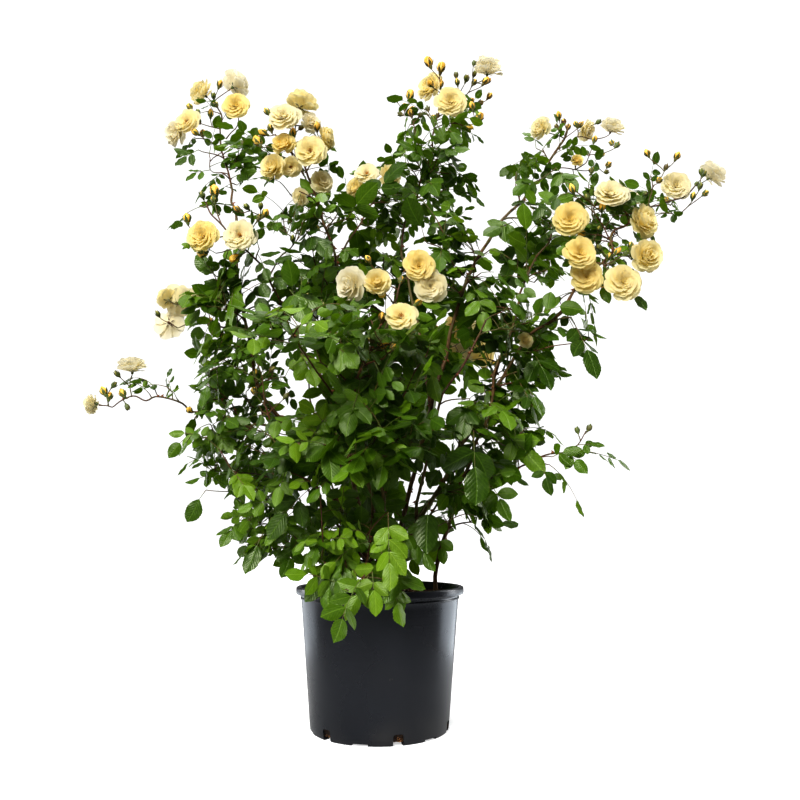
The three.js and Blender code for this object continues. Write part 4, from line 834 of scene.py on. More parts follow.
class Skeleton:
    """Every point a shoot can spring from: place, heading, radius and kind."""

    def __init__(self, room=60000):
        self.p = np.zeros((room, 3))
        self.d = np.zeros((room, 3))
        self.r = np.zeros(room)
        self.k = np.zeros(room, int)
        self.n = 0

    def add(self, path, radius, kind):
        t = tangents(path)
        m = len(path)
        s = slice(self.n, self.n + m)
        self.p[s], self.d[s], self.k[s] = path, t, kind
        self.r[s] = radius
        self.n += m
        return s

    def nearest(self, target, kinds, turn=0.7, aim=None, below=0.0, most=None, thin=0.0):
        """The point to grow from: near, and already heading the right way."""
        p, d = self.p[: self.n], self.d[: self.n]
        to = target - p
        dist = np.linalg.norm(to, axis=1)
        way = to / np.maximum(dist, 1e-6)[:, None]
        cost = dist * (1 + turn * (1 - np.einsum("ij,ij->i", way, d)))
        if aim is not None:
            cost = cost * (1 + 0.9 * (1 - way @ aim))
        cost = cost + below * np.maximum(0, p[:, 2] - target[2] + 0.01)
        cost = cost + thin * np.maximum(0, 0.0014 - self.r[: self.n]) * 100
        ok = np.isin(self.k[: self.n], kinds) & (dist > 0.006)
        cost = np.where(ok, cost, 1e9)
        i = int(np.argmin(cost))
        return i


SK = Skeleton()
rng = np.random.default_rng(20417)
LEADER, TWIG, STALK = 0, 1, 2

bark, young, green_shoot, thorn = Heap(), Heap(), Heap(), Heap()


def rough_bark(amount, ring=0.05, phase=0.0):
    def relief(a, s):
        node = 1 + 0.16 * np.exp(-(((s + phase) % 0.052 - 0.026) / 0.0035) ** 2)
        long = 1 + amount * (np.sin(3 * a + 40 * s + phase * 90) * 0.5 + np.sin(7 * a - 90 * s + phase * 50) * 0.35 + np.sin(150 * s + 2 * a) * 0.35)
        return long * node
    return relief


def prickle(base, out_dir, along_dir, size):
    """A hooked, flattened thorn, wide at the foot and bent back down the stem."""
    side = np.cross(along_dir, out_dir)
    w, h = size * 0.62, size
    foot = np.array([along_dir * w, side * w * 0.42, -along_dir * w, -side * w * 0.42]) + base - out_dir * 0.0004
    mid = np.array([along_dir * w * 0.1, side * w * 0.22, -along_dir * w * 0.62, -side * w * 0.22]) + base + out_dir * h * 0.52
    tip = base + out_dir * h - along_dir * w * 1.0
    v = np.vstack([foot, mid, tip[None]])
    tris = []
    for i in range(4):
        j = (i + 1) % 4
        tris += [[i, j, 4 + j], [i, 4 + j, 4 + i], [4 + i, 4 + j, 8]]
    thorn.add(v, tris)


leader_paths = {}
for name, r0, r1, stops in LEADERS:
    pts = [place(*q) for q in stops]
    step = 0.0042 if r0 > 3.5 else 0.005
    path = spline(pts, step)
    n = len(path)
    s = np.concatenate([[0], np.cumsum(np.linalg.norm(np.diff(path, axis=0), axis=1))])
    # A shoot turns a little at each leaf joint.
    joint = 0.040 if r0 > 2 else 0.026
    knots = np.arange(0, s[-1] + joint, joint)
    kick = rng.normal(0, 1, (len(knots), 3)) * (0.0024 if r0 > 2 else 0.0013)
    kick[0] = 0
    kick[-1] = 0
    drift = np.stack([np.interp(s, knots, kick[:, c]) for c in range(3)], 1)
    fade = np.minimum(1, np.minimum(s, s[-1] - s) / 0.03)[:, None]
    path = path + drift * fade
    f = s / s[-1]
    rad = (r0 + (r1 - r0) * f**0.8) * MM
    leader_paths[name] = (path, rad, s)
    SK.add(path, rad, LEADER)
    thick = rad > 2.05 * MM
    cut = int(np.argmin(thick)) if not thick.all() else n
    if thick[0] and cut > 3:
        tube(bark, path[: min(cut + 1, n)], rad[: min(cut + 1, n)], 14, relief=rough_bark(0.05, phase=rng.uniform(0, 0.05)))
        if cut < n - 3:
            tube(young, path[cut:], rad[cut:], 9, relief=rough_bark(0.03, phase=rng.uniform(0, 0.05)))
    else:
        tube(young if r0 > 1.25 else green_shoot, path, rad, 8, relief=rough_bark(0.03, phase=rng.uniform(0, 0.05)))
    # Prickles stand one by one at random along the thicker shoots.
    if r0 > 1.7:
        t = tangents(path)
        for _ in range(int(s[-1] / 0.030)):
            i = int(rng.integers(3, n - 3))
            if path[i][2] < 0.24:
                continue
            x, y = across(t[i])
            a = rng.uniform(0, 2 * math.pi)
            o = x * math.cos(a) + y * math.sin(a)
            prickle(path[i] + o * rad[i] * 0.95, o, t[i], rng.uniform(0.0042, 0.0068))


# ---------------------------------------------------------------- blossom and buds

petals = {0: Heap(), 1: Heap(), 2: Heap(), 3: Heap()}
stamens, sepals, bud_gold, bud_green = Heap(), Heap(), Heap(), Heap()

RINGS = {
    # count, foot radius, lift, lean at foot, lean at rim, length, half width, curl across, ruffle
    "rosette": [
        (6, 0.10, 0.00, 58, 100, 1.06, 0.64, 22, 0.034),
        (6, 0.10, 0.05, 50, 88, 0.98, 0.60, 28, 0.034),
        (6, 0.09, 0.09, 42, 77, 0.88, 0.53, 36, 0.034),
        (6, 0.08, 0.13, 35, 66, 0.76, 0.45, 44, 0.034),
        (5, 0.07, 0.16, 28, 56, 0.63, 0.38, 52, 0.032),
        (5, 0.06, 0.18, 20, 44, 0.51, 0.31, 60, 0.028),
        (4, 0.05, 0.20, 12, 30, 0.40, 0.24, 72, 0.022),
        (3, 0.03, 0.20, 3, 10, 0.32, 0.18, 86, 0.015),
    ],
    "open": [
        (6, 0.10, 0.00, 60, 98, 1.06, 0.64, 18, 0.038),
        (6, 0.10, 0.05, 53, 86, 0.98, 0.60, 22, 0.038),
        (6, 0.09, 0.09, 45, 74, 0.85, 0.51, 28, 0.034),
        (5, 0.08, 0.12, 37, 62, 0.67, 0.41, 34, 0.032),
        (5, 0.07, 0.14, 28, 50, 0.50, 0.30, 42, 0.030),
        (3, 0.06, 0.15, 20, 40, 0.36, 0.22, 50, 0.020),
    ],
    "cup": [
        (5, 0.10, 0.00, 64, 88, 1.00, 0.64, 26, 0.060),
        (6, 0.10, 0.04, 57, 56, 1.06, 0.60, 34, 0.050),
        (6, 0.09, 0.08, 46, 34, 1.06, 0.54, 44, 0.040),
        (6, 0.08, 0.12, 34, 18, 0.99, 0.45, 54, 0.030),
        (5, 0.06, 0.15, 22, 9, 0.91, 0.36, 66, 0.028),
        (4, 0.04, 0.17, 9, 2, 0.83, 0.28, 80, 0.025),
    ],
}


def grid_faces(rows, cols):
    i = np.arange(rows - 1)[:, None] * cols
    j = np.arange(cols - 1)[None, :]
    a = (i + j).ravel()
    return np.concatenate([np.stack([a, a + 1, a + cols + 1], 1), np.stack([a, a + cols + 1, a + cols], 1)])


def petal(rows, cols, lean0, lean1, length, half, curl, ruffle, foot, lift, turn, g, notch, shingle=0.0):
    v = np.linspace(0, 1, rows) ** 0.85
    u = np.linspace(-1, 1, cols)
    fine = np.linspace(0, 1, 41)
    lean = np.radians(lean0 + (lean1 - lean0) * fine**1.35)
    r = foot + np.concatenate([[0], np.cumsum(np.sin((lean[1:] + lean[:-1]) / 2))]) * length / 40
    h = lift + np.concatenate([[0], np.cumsum(np.cos((lean[1:] + lean[:-1]) / 2))]) * length / 40
    V, U = np.meshgrid(v, u, indexing="ij")
    # Every column ends on a rounded rim, whose middle may dip.
    VV = V * (1 - 0.30 * np.abs(U) ** 2.4 - notch * np.exp(-((U / 0.28) ** 2)) * smooth(0.5, 1.0, V))
    width = half * np.maximum(VV**0.55 * (1 - 0.06 * VV**6), 0.10)
    R = np.interp(VV, fine, r)
    H = np.interp(VV, fine, h)
    A = np.interp(VV, fine, lean)
    c = math.radians(curl) * (0.55 + 0.45 * (1 - V))
    x = width / c * np.sin(c * U)
    inward = width / c * (1 - np.cos(c * U))
    ph = g.uniform(0, 6.28, 3)
    wav = ruffle * V**1.6 * (np.sin(2.6 * math.pi * U + ph[0]) * 0.5 + np.sin(1.5 * math.pi * U + ph[1]) * 0.7 + 0.4 * np.sin(9 * V + 3 * U + ph[2]))
    # One side of each petal lies inside its neighbour and the other outside it.
    push = inward + wav + shingle * U * V**0.6
    # inward normal in the plane of the axis and the radius
    nr, nh = -np.cos(A), np.sin(A)
    R2, H2 = R + push * nr, H + push * nh
    ct, st = math.cos(turn), math.sin(turn)
    P = np.stack([R2 * ct - x * st, R2 * st + x * ct, H2], -1)
    return P.reshape(-1, 3), grid_faces(rows, cols), np.stack([0.5 + 0.47 * U, 0.03 + 0.94 * V], -1).reshape(-1, 2)


def make_bloom(form, seed):
    g = np.random.default_rng(seed)
    V, T, W, n = [], [], [], 0
    rings = RINGS[form]
    for k, (count, foot, lift, a0, a1, length, half, curl, ruffle) in enumerate(rings):
        start = g.uniform(0, 6.28)
        inner = k >= max(3, len(rings) - 4)
        rows, cols = (7, 6) if inner else (10, 9)
        for i in range(count):
            turn = start + 2 * math.pi * (i + g.uniform(-0.16, 0.16)) / count
            tilt = g.normal(0, 2.2)
            P, F, uv = petal(rows, cols, a0 + tilt * 0.6, a1 + tilt + g.normal(0, 2.5), length * g.uniform(0.90, 1.07), half * g.uniform(0.90, 1.10),
                             curl * g.uniform(0.8, 1.2), ruffle * g.uniform(0.5, 1.1), foot, lift + g.uniform(-0.012, 0.012), turn, g, g.choice([0.0, 0.0, 0.05, 0.09]), 0.055 if inner else 0.100)
            row = min(3, int(4 * k / len(rings)))
            cell = np.array([g.integers(0, 4), row])
            V.append(P)
            T.append(F + n)
            W.append((cell + np.clip(uv, 0.02, 0.98)) / 4)
            n += len(P)
    V = np.vstack(V)
    reach = np.percentile(np.linalg.norm(V[:, :2], axis=1), 97)
    return V / reach, np.vstack(T), np.vstack(W), 1 / reach


BLOOM_KINDS = {f: [make_bloom(f, 100 + 31 * i + len(f)) for i in range(5)] for f in RINGS}


def frame_for(axis, spin):
    x, y = across(axis)
    c, s = math.cos(spin), math.sin(spin)
    return np.stack([x * c + y * s, -x * s + y * c, unit(axis)], 0)


def ovoid(profile, sides, ridge=0.0, twist=0.0):
    """A turned body from (height, radius) rings, closed at both ends, with a spiral ridge."""
    hs, rs = np.array(profile).T
    a = np.linspace(0, 2 * math.pi, sides, endpoint=False)
    A = a[None] + 0 * hs[:, None]
    saw = ((A / (2 * math.pi) * 3 + hs[:, None] * twist) % 1.0)
    R = rs[:, None] * (1 + ridge * (saw - 0.5))
    v = np.stack([R * np.cos(A), R * np.sin(A), np.broadcast_to(hs[:, None], R.shape)], -1).reshape(-1, 3)
    n = len(hs)
    i = np.arange(n - 1)[:, None] * sides
    j = np.arange(sides)[None]
    q = np.stack([i + j, i + (j + 1) % sides, i + sides + (j + 1) % sides, i + sides + j], -1).reshape(-1, 4)
    v = np.vstack([v, [0, 0, hs[-1] + rs[-1] * 0.4], [0, 0, hs[0] - rs[0] * 0.3]])
    t = [[(n - 1) * sides + k, (n - 1) * sides + (k + 1) % sides, n * sides] for k in range(sides)]
    t += [[(k + 1) % sides, k, n * sides + 1] for k in range(sides)]
    return v, np.array(t), q


def sepal(length, width, hug, lean0, lean1, turn, rows=6):
    """A narrow tapering blade with its foot on the cup, hugging a body of radius hug or bent away from it."""
    v = np.linspace(0, 1, rows)
    fine = np.linspace(0, 1, 31)
    lean = np.radians(lean0 + (lean1 - lean0) * fine)
    r = hug + np.concatenate([[0], np.cumsum(np.sin((lean[1:] + lean[:-1]) / 2))]) * length / 30
    h = np.concatenate([[0], np.cumsum(np.cos((lean[1:] + lean[:-1]) / 2))]) * length / 30
    R, H = np.interp(v, fine, r), np.interp(v, fine, h)
    w = width * np.array([0.7, 1.0, 0.92, 0.66, 0.34, 0.05])[:rows]
    ct, st = math.cos(turn), math.sin(turn)
    out = []
    for k in range(rows):
        for u in (-1, 0, 1):
            x = w[k] * u
            rr = R[k] - abs(u) * w[k] * 0.35
            out.append([rr * ct - x * st, rr * st + x * ct, H[k]])
    return np.array(out), grid_faces(rows, 3)


def stalk(start, end, aim, r_foot, r_tip, heap, kind=STALK, sag=0.0, sides=6, into=None):
    """A stalk from a point of the skeleton to end, arriving along aim."""
    i = start
    p0, d0 = SK.p[i], SK.d[i]
    span = np.linalg.norm(end - p0)
    way = unit(end - p0)
    lead = unit(d0 * 0.35 + way * 1.1)
    bow = unit(unit(aim) * 0.6 + way * 0.9)
    path = bezier(p0, p0 + lead * span * 0.34, end - bow * span * 0.30, end, max(5, int(span / 0.0055)))
    path = path + UP * sag * (-np.sin(np.linspace(0, math.pi, len(path))))[:, None]
    rad = np.linspace(r_foot, r_tip, len(path))
    tube(heap, path, rad, sides, tip=False)
    SK.add(path[2:], rad[2:], kind)
    return path


def hip(at, axis, size, lean0, lean1, spin, count=5, long=1.0):
    """The cup under a flower with its ring of sepals. at is where the petals start."""
    M = frame_for(axis, spin)
    prof = [(-1.25, 0.22), (-1.05, 0.40), (-0.70, 0.56), (-0.32, 0.58), (0.0, 0.50)]
    v, t, q = ovoid([(h * size, r * size) for h, r in prof], 8)
    sepals.add(at + v @ M, t, q)
    for k in range(count):
        sv, sf = sepal(size * 2.5 * long, size * 0.44, size * 0.45, lean0 + rng.normal(0, 8), lean1 + rng.normal(0, 12), 2 * math.pi * k / count + rng.normal(0, 0.12))
        sepals.add(at + sv @ M, sf)


# Where the plant is seen from.
EYE = np.array([0.0334, -1.2834, 0.3173])
bloom_spots = []


def flower(centre, width, axis, tint, form, aim_kinds=(LEADER, STALK)):
    axis = unit(axis)
    to_eye = unit(EYE - centre)
    facing = float(axis @ to_eye)
    if -0.3 < facing < 0.62 and abs(axis[1]) < 0.9:
        # Held sideways: a deep cup, its face a little towards the front or away from it.
        form = "cup"
        axis = unit(axis + to_eye * (0.50 if facing > 0.0 else -0.12))
    R = width * (0.445 if facing > 0.62 else 0.50)
    V, T, W, k = BLOOM_KINDS[form][rng.integers(0, 5)]
    M = frame_for(axis, rng.uniform(0, 6.28))
    lift = {"rosette": 0.40, "open": 0.34, "cup": 0.52}[form]
    foot = centre - axis * R * lift
    petals[tint].add(foot + (V * R) @ M, T, None, W)
    size = 0.0042 * (0.8 + 0.25 * R / 0.028)
    hip(foot + axis * size * 0.15, axis, size, 70, 125 if form != "cup" else 100, rng.uniform(0, 6.28))
    if form == "open":
        heart = foot + axis * R * 0.16
        for _ in range(44):
            a, l = rng.uniform(0, 6.28), R * rng.uniform(0.18, 0.34)
            lean = math.radians(rng.uniform(8, 58))
            d = np.array([math.cos(a) * math.sin(lean), math.sin(a) * math.sin(lean), math.cos(lean)]) @ M
            tip = heart + d * l
            x, y = across(d)
            w = 0.00016
            stamens.add(np.array([heart + x * w, heart - x * w, tip + x * w, tip - x * w]), [[0, 1, 3], [0, 3, 2]])
            b = 0.00062
            stamens.add(np.array([tip + x * b, tip - x * b * 0.5 + y * b * 0.87, tip - x * b * 0.5 - y * b * 0.87, tip + d * b * 1.7, tip - d * b * 0.9]),
                        [[0, 1, 3], [1, 2, 3], [2, 0, 3], [1, 0, 4], [2, 1, 4], [0, 2, 4]])
    base = foot - axis * size * 1.25
    i = SK.nearest(base, aim_kinds, turn=0.45, aim=axis)
    stalk(i, base, axis, 0.00120, 0.00095, green_shoot)
    bloom_spots.append((centre, R, axis))


for node, fx, fy, fz, mm, axis, tint, form in BLOOMS:
    flower(place(node, fx, fy, fz), mm * MM, axis, tint, form)

# The two sprays at the back open towards the back, like those that face forward.
for node, count in (("blooms_back_left", 7), ("blooms_back_right", 7)):
    low, high = BOX[node]
    c, h = (low + high) / 2, (high - low) / 2
    for k in range(count):
        a = 2.4 * k + rng.uniform(-0.3, 0.3)
        q = math.sqrt((k + 0.6) / count) * 0.72
        p = c + h * np.array([math.cos(a) * q, 0.30 + rng.uniform(-0.2, 0.25), math.sin(a) * q])
        flower(p, rng.uniform(0.048, 0.060), np.array([math.cos(a) * 0.45 * q, 1.0, 0.15 + math.sin(a) * 0.35 * q]), int(rng.choice([0, 1, 1, 2, 2, 3])), str(rng.choice(["rosette", "rosette", "open", "cup"])))

BUD = {"G": (0.0074, 0.0200), "g": (0.0060, 0.0158), "h": (0.0050, 0.0138), "n": (0.0040, 0.0120)}


def bud(at, axis, kind, scale=1.0):
    """A pointed bud: rolled petals, five sepals and the cup. at is the middle of the bud."""
    r, l = BUD[kind]
    r, l = r * scale * rng.uniform(0.9, 1.1), l * scale * rng.uniform(0.92, 1.08)
    axis = unit(axis)
    M = frame_for(axis, rng.uniform(0, 6.28))
    foot = at - axis * l * 0.42
    prof = [(0.0, 0.55), (0.14, 0.86), (0.32, 1.0), (0.52, 0.97), (0.70, 0.76), (0.85, 0.46), (0.96, 0.18)]
    v, t, q = ovoid([(h * l, x * r) for h, x in prof], 12, 0.16 if kind != "n" else 0.05, 60.0)
    (bud_green if kind == "n" else bud_gold).add(foot + v @ M, t, q)
    if kind == "G":
        for k in range(3):
            P, F, uv = petal(7, 6, 22, -48, l * 1.02, r * 1.05, 66, r * 0.04, r * 0.80, 0, 2.1 * k + rng.uniform(-0.2, 0.2), rng, 0.0)
            bud_gold.add(foot + P @ M, F)
    cup = r * 0.50
    cv, ct, cq = ovoid([(-1.9 * cup, 0.34 * cup), (-1.5 * cup, 0.60 * cup), (-0.9 * cup, 0.88 * cup), (-0.3 * cup, 0.98 * cup), (0.1 * cup, 1.04 * cup)], 8)
    sepals.add(foot + cv @ M, ct, cq)
    long = {"G": 0.66, "g": 0.74, "h": 0.94, "n": 1.08}[kind]
    for k in range(5):
        wide = r * {"G": 0.36, "g": 0.40, "h": 0.54, "n": 0.68}[kind]
        bend = {"G": (42, -4), "g": (40, -20), "h": (40, -34), "n": (38, -34)}[kind]
        sv, sf = sepal(l * long, wide, r * 0.60, bend[0], bend[1] + rng.normal(0, 5), 2 * math.pi * k / 5)
        # Held just off the petals.
        sv[:, :2] *= 1.10
        sepals.add(foot + sv @ M, sf)
    base = foot - axis * cup * 1.9
    return base, cup * 0.34


# Buds are joined on from the nearest first, so that later ones fork off earlier stalks.
todo = [(place(n, a, b, c), k) for n, a, b, c, k in BUDS]
end_buds = []
for node in ("blooms_back_left", "blooms_back_right"):
    low, high = BOX[node]
    for k in range(13):
        f = rng.uniform([0.02, 0.30, 0.05], [0.98, 0.9, 1.0])
        todo.append((low + (high - low) * f, str(rng.choice(list("Ggghhnn")))))
for path, rad, _ in leader_paths.values():
    # A shoot that ends among the flowers ends in a bud.
    tip, way = path[-1], unit(path[-1] - path[-4])
    low, high = min(((BOX[n][0] - 0.02, BOX[n][1] + 0.02) for n in BLOOM_MASSES), key=lambda b: float(np.linalg.norm(np.maximum(0, np.maximum(b[0] - tip, tip - b[1])))))
    if not ((tip > low) & (tip < high)).all():
        continue
    near = [float(np.linalg.norm(b[0] - tip - way * 0.008)) for b in todo] + [float(np.linalg.norm(c - tip)) - R for c, R, _ in bloom_spots]
    if min(near) < 0.010:
        continue
    kind = str(rng.choice(list("hhng")))
    end_buds.append((tip + way * (BUD[kind][0] * 0.95 + BUD[kind][1] * 0.42 - 0.0012), way, kind))
for at, way, kind in end_buds:
    bud(at, way, kind)
todo.sort(key=lambda b: float(np.min(np.linalg.norm(SK.p[: SK.n][SK.k[: SK.n] == LEADER] - b[0], axis=1))))
for at, kind in todo:
    i = SK.nearest(at, (LEADER, STALK), turn=0.55, below=0.8)
    axis = unit(unit(at - SK.p[i]) + np.array([0, 0, 0.45]) + rng.normal(0, 0.12, 3))
    base, r = bud(at, axis, kind)
    i = SK.nearest(base, (LEADER, STALK), turn=0.55, aim=axis, below=0.8)
    stalk(i, base, axis, 0.00105, 0.00080, green_shoot, sides=5)


# ---------------------------------------------------------------- side shoots

masses = {}
for n in FOLIAGE:
    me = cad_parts[n].data
    masses[n] = BVHTree.FromPolygons([v.co.copy() for v in me.vertices], [tuple(p.vertices) for p in me.polygons])


def depth_in(node, p):
    """How far inside a mass a point lies, in metres, negative outside it."""
    near, normal, _, dist = masses[node].find_nearest(Vector(p))
    return dist if (Vector(p) - near).dot(normal) < 0 else -dist


def in_crown(p, slack=0.0):
    for n in FOLIAGE:
        low, high = BOX[n]
        if (p > low - slack).all() and (p < high + slack).all() and depth_in(n, p) > -slack:
            return True
    return False


def outward(p):
    """The way a leaf there looks for light: away from the middle of the crown."""
    c = np.array([0.0, 0.0, min(max(p[2] - 0.10, 0.36), 0.74)])
    return unit(np.asarray(p) - c)


gap_way, gap_cos = [], []
for node, fx, fz, mm in GAPS:
    v = place("foliage_" + node, fx, 0.5, fz) - EYE
    gap_way.append(unit(v))
    gap_cos.append(math.cos(math.atan((mm - 1.5) * MM / np.linalg.norm(v))))
gap_way, gap_cos = np.array(gap_way), np.array(gap_cos)


def in_gap(P):
    """Which of the points stand in one of the crown's openings."""
    v = unit(np.atleast_2d(P) - EYE)
    return ((v @ gap_way.T) > gap_cos[None]).any(1)


spot_c = np.array([c for c, R, a in bloom_spots])
spot_r = np.array([R for c, R, a in bloom_spots])
spot_a = np.array([a for c, R, a in bloom_spots])
to_eye = unit(EYE - spot_c)
faces_eye = np.einsum("ij,ij->i", to_eye, spot_a) > 0.05


def hides_bloom(P):
    """Which of the points stand in a flower, or in the light that falls on its face."""
    P = np.atleast_2d(P)
    d = P[:, None] - spot_c[None]
    close = np.linalg.norm(d, axis=2) < spot_r * 0.72
    h = np.einsum("pbi,bi->pb", d, spot_a)
    off = np.linalg.norm(d - h[..., None] * spot_a[None], axis=2)
    front = (h > 0) & (h < 0.09) & (off < spot_r * 0.85)
    h = np.einsum("pbi,bi->pb", d, to_eye)
    off = np.linalg.norm(d - h[..., None] * to_eye[None], axis=2)
    seen = (h > 0) & (h < 0.35) & (off < spot_r * 0.86) & faces_eye
    return (close | front | seen).any(1)


# How close shoots stand, in metres, for masses that are looser or fuller than the rest.
SPACING = {"foliage_upper_left_stem": 0.036, "foliage_upper_right_stem": 0.040, "foliage_top_stem": 0.036, "foliage_neck": 0.044,
           "foliage_low_right_spray": 0.040, "foliage_second_left_stem": 0.040, "foliage_right_arm": 0.040, "foliage_skirt_front": 0.034}
LOOSE = set(SPACING)
# More shoots, where the crown is fullest: foliage mass, place in its box.
MORE = [

]
# Leaves that stand out from the rest: foliage mass, place of the foot in its box, run of the stalk in mm,
# pairs of leaflets, size of a leaflet in mm, and tint from 0 deep green to 3 young.
STANDING = [
    ('skirt_front', 0.78, 0.16, 1.76, (2, -20, -71), 3, 40, 3), ('skirt_front', 0.12, 0.63, 0.88, (2, -8, -27), 1, 36, 1),
    ('skirt_front', 0.05, 0.72, 0.98, (19, -11, -25), 1, 34, 0), ('skirt_front', 0.57, 0.40, 0.73, (-15, -6, -26), 1, 40, 2),
    ('skirt_front', 0.78, 0.48, 0.66, (15, -4, -31), 1, 35, 2), ('skirt_front', 0.61, 0.29, 0.80, (3, -4, -25), 1, 33, 3),
    ('skirt_front', 0.31, 0.63, 0.98, (-5, -10, -23), 2, 34, 1), ('foot_right', -0.06, -0.01, 0.49, (-1, -10, -22), 0, 56, 0),
    ('foot_right', 0.07, 0.20, 0.24, (6, -10, -29), 1, 27, 1), ('foot_left', 0.73, 0.26, 0.24, (-11, -10, -28), 1, 31, 0),
    ('foot_left', 0.39, 0.31, 0.31, (-9, -10, -22), 0, 42, 0), ('foot_left', 0.12, 0.35, 0.41, (-10, -10, -16), 1, 30, 1),
    ('low_left', 0.20, 0.47, 0.11, (-11, 0, -15), 0, 38, 0), ('low_left', 0.02, 0.47, 0.57, (-13, 0, -12), 0, 28, 1),
    ('low_right', 0.30, 0.07, 0.47, (0, -10, -58), 1, 60, 0), ('low_right', 0.28, 0.11, 0.74, (-9, -10, -28), 1, 44, 0),
    ('mid_right', 0.96, 0.43, 0.88, (30, -10, -68), 2, 36, 0), ('mid_right', 0.70, 0.39, 0.41, (11, -10, -27), 1, 44, 0),
    ('low_right', 0.50, 0.38, 0.04, (12, -10, -20), 1, 36, 1), ('upper_left', 1.19, 0.16, 0.39, (15, -10, -19), 1, 52, 1),
    ('upper_left', 1.33, 0.25, 1.10, (19, -10, -19), 1, 44, 0), ('upper_left', 1.22, 0.25, 0.32, (-2, -10, 20), 0, 46, 1),
    ('upper_centre_left', 0.84, 0.26, 1.11, (11, -10, 14), 2, 46, 1), ('upper_centre_left', 1.09, 0.36, 1.33, (14, -10, 22), 1, 44, 0),
    ('neck', 0.77, -0.21, -0.39, (-7, -10, 22), 0, 52, 0), ('neck', 0.71, -0.14, 0.27, (-14, -10, 7), 2, 34, 1),
    ('top_stem', 0.47, -0.04, 0.43, (-17, -10, 14), 2, 34, 1), ('top_stem', 0.67, -0.04, 0.57, (25, -10, 2), 2, 30, 1),
    ('top_stem', 0.74, 0.04, 0.93, (12, -10, -14), 0, 36, 1), ('upper_right_stem', 0.68, 0.00, 0.10, (-32, -10, -13), 2, 32, 1),
    ('upper_right_stem', 0.91, 0.00, 0.34, (16, -10, -25), 1, 34, 1), ('upper_right', 0.24, 0.24, 0.70, (-24, -10, -12), 2, 36, 1),
    ('mid_front', 0.28, 0.24, 0.42, (22, -20, -17), 2, 36, 2), ('mid_front', 0.08, 0.34, 0.36, (18, -20, -29), 3, 32, 3),
    ('low_front', 0.38, 0.33, 0.58, (11, -20, -34), 2, 46, 1), ('low_front', 0.57, 0.25, 0.85, (-7, -20, -28), 2, 38, 1),
    ('foot_front', -0.04, 0.23, 1.15, (-7, -10, -25), 2, 30, 2), ('low_left', 0.52, 0.16, 0.24, (22, -10, -23), 3, 28, 3),
    ('low_left', 0.31, 0.27, 0.58, (23, -10, -18), 3, 27, 2), ('right_arm', 0.72, 1.00, 1.79, (19, -10, -47), 1, 30, 1),
    ('right_arm', 1.46, 0.64, 1.29, (10, -10, -17), 0, 34, 0), ('upper_left_stem', 0.10, 0.49, 0.36, (-24, -10, -9), 1, 28, 1),
    ('upper_left_stem', 0.35, 0.60, 0.49, (30, -10, 5), 3, 26, 1), ('upper_left_stem', 0.47, 0.60, 0.26, (25, -10, 8), 2, 28, 1),
    ('upper_left_stem', -0.13, 0.49, 0.72, (-20, -10, -18), 1, 32, 0),
    ('right_arm', 0.15, 0.45, 0.78, (22, -12, -58), 2, 45, 0),
    ('low_right_spray', 0.31, 0.32, 0.42, (16, -8, 8), 1, 28, 1), ('low_right_spray', 0.50, 0.32, 0.55, (14, -8, -14), 1, 26, 1),
    ('low_right_spray', 0.16, 0.32, 0.28, (6, -8, -24), 1, 30, 0), ('low_right_spray', 0.65, 0.32, 0.69, (20, -6, 2), 1, 22, 1),
]
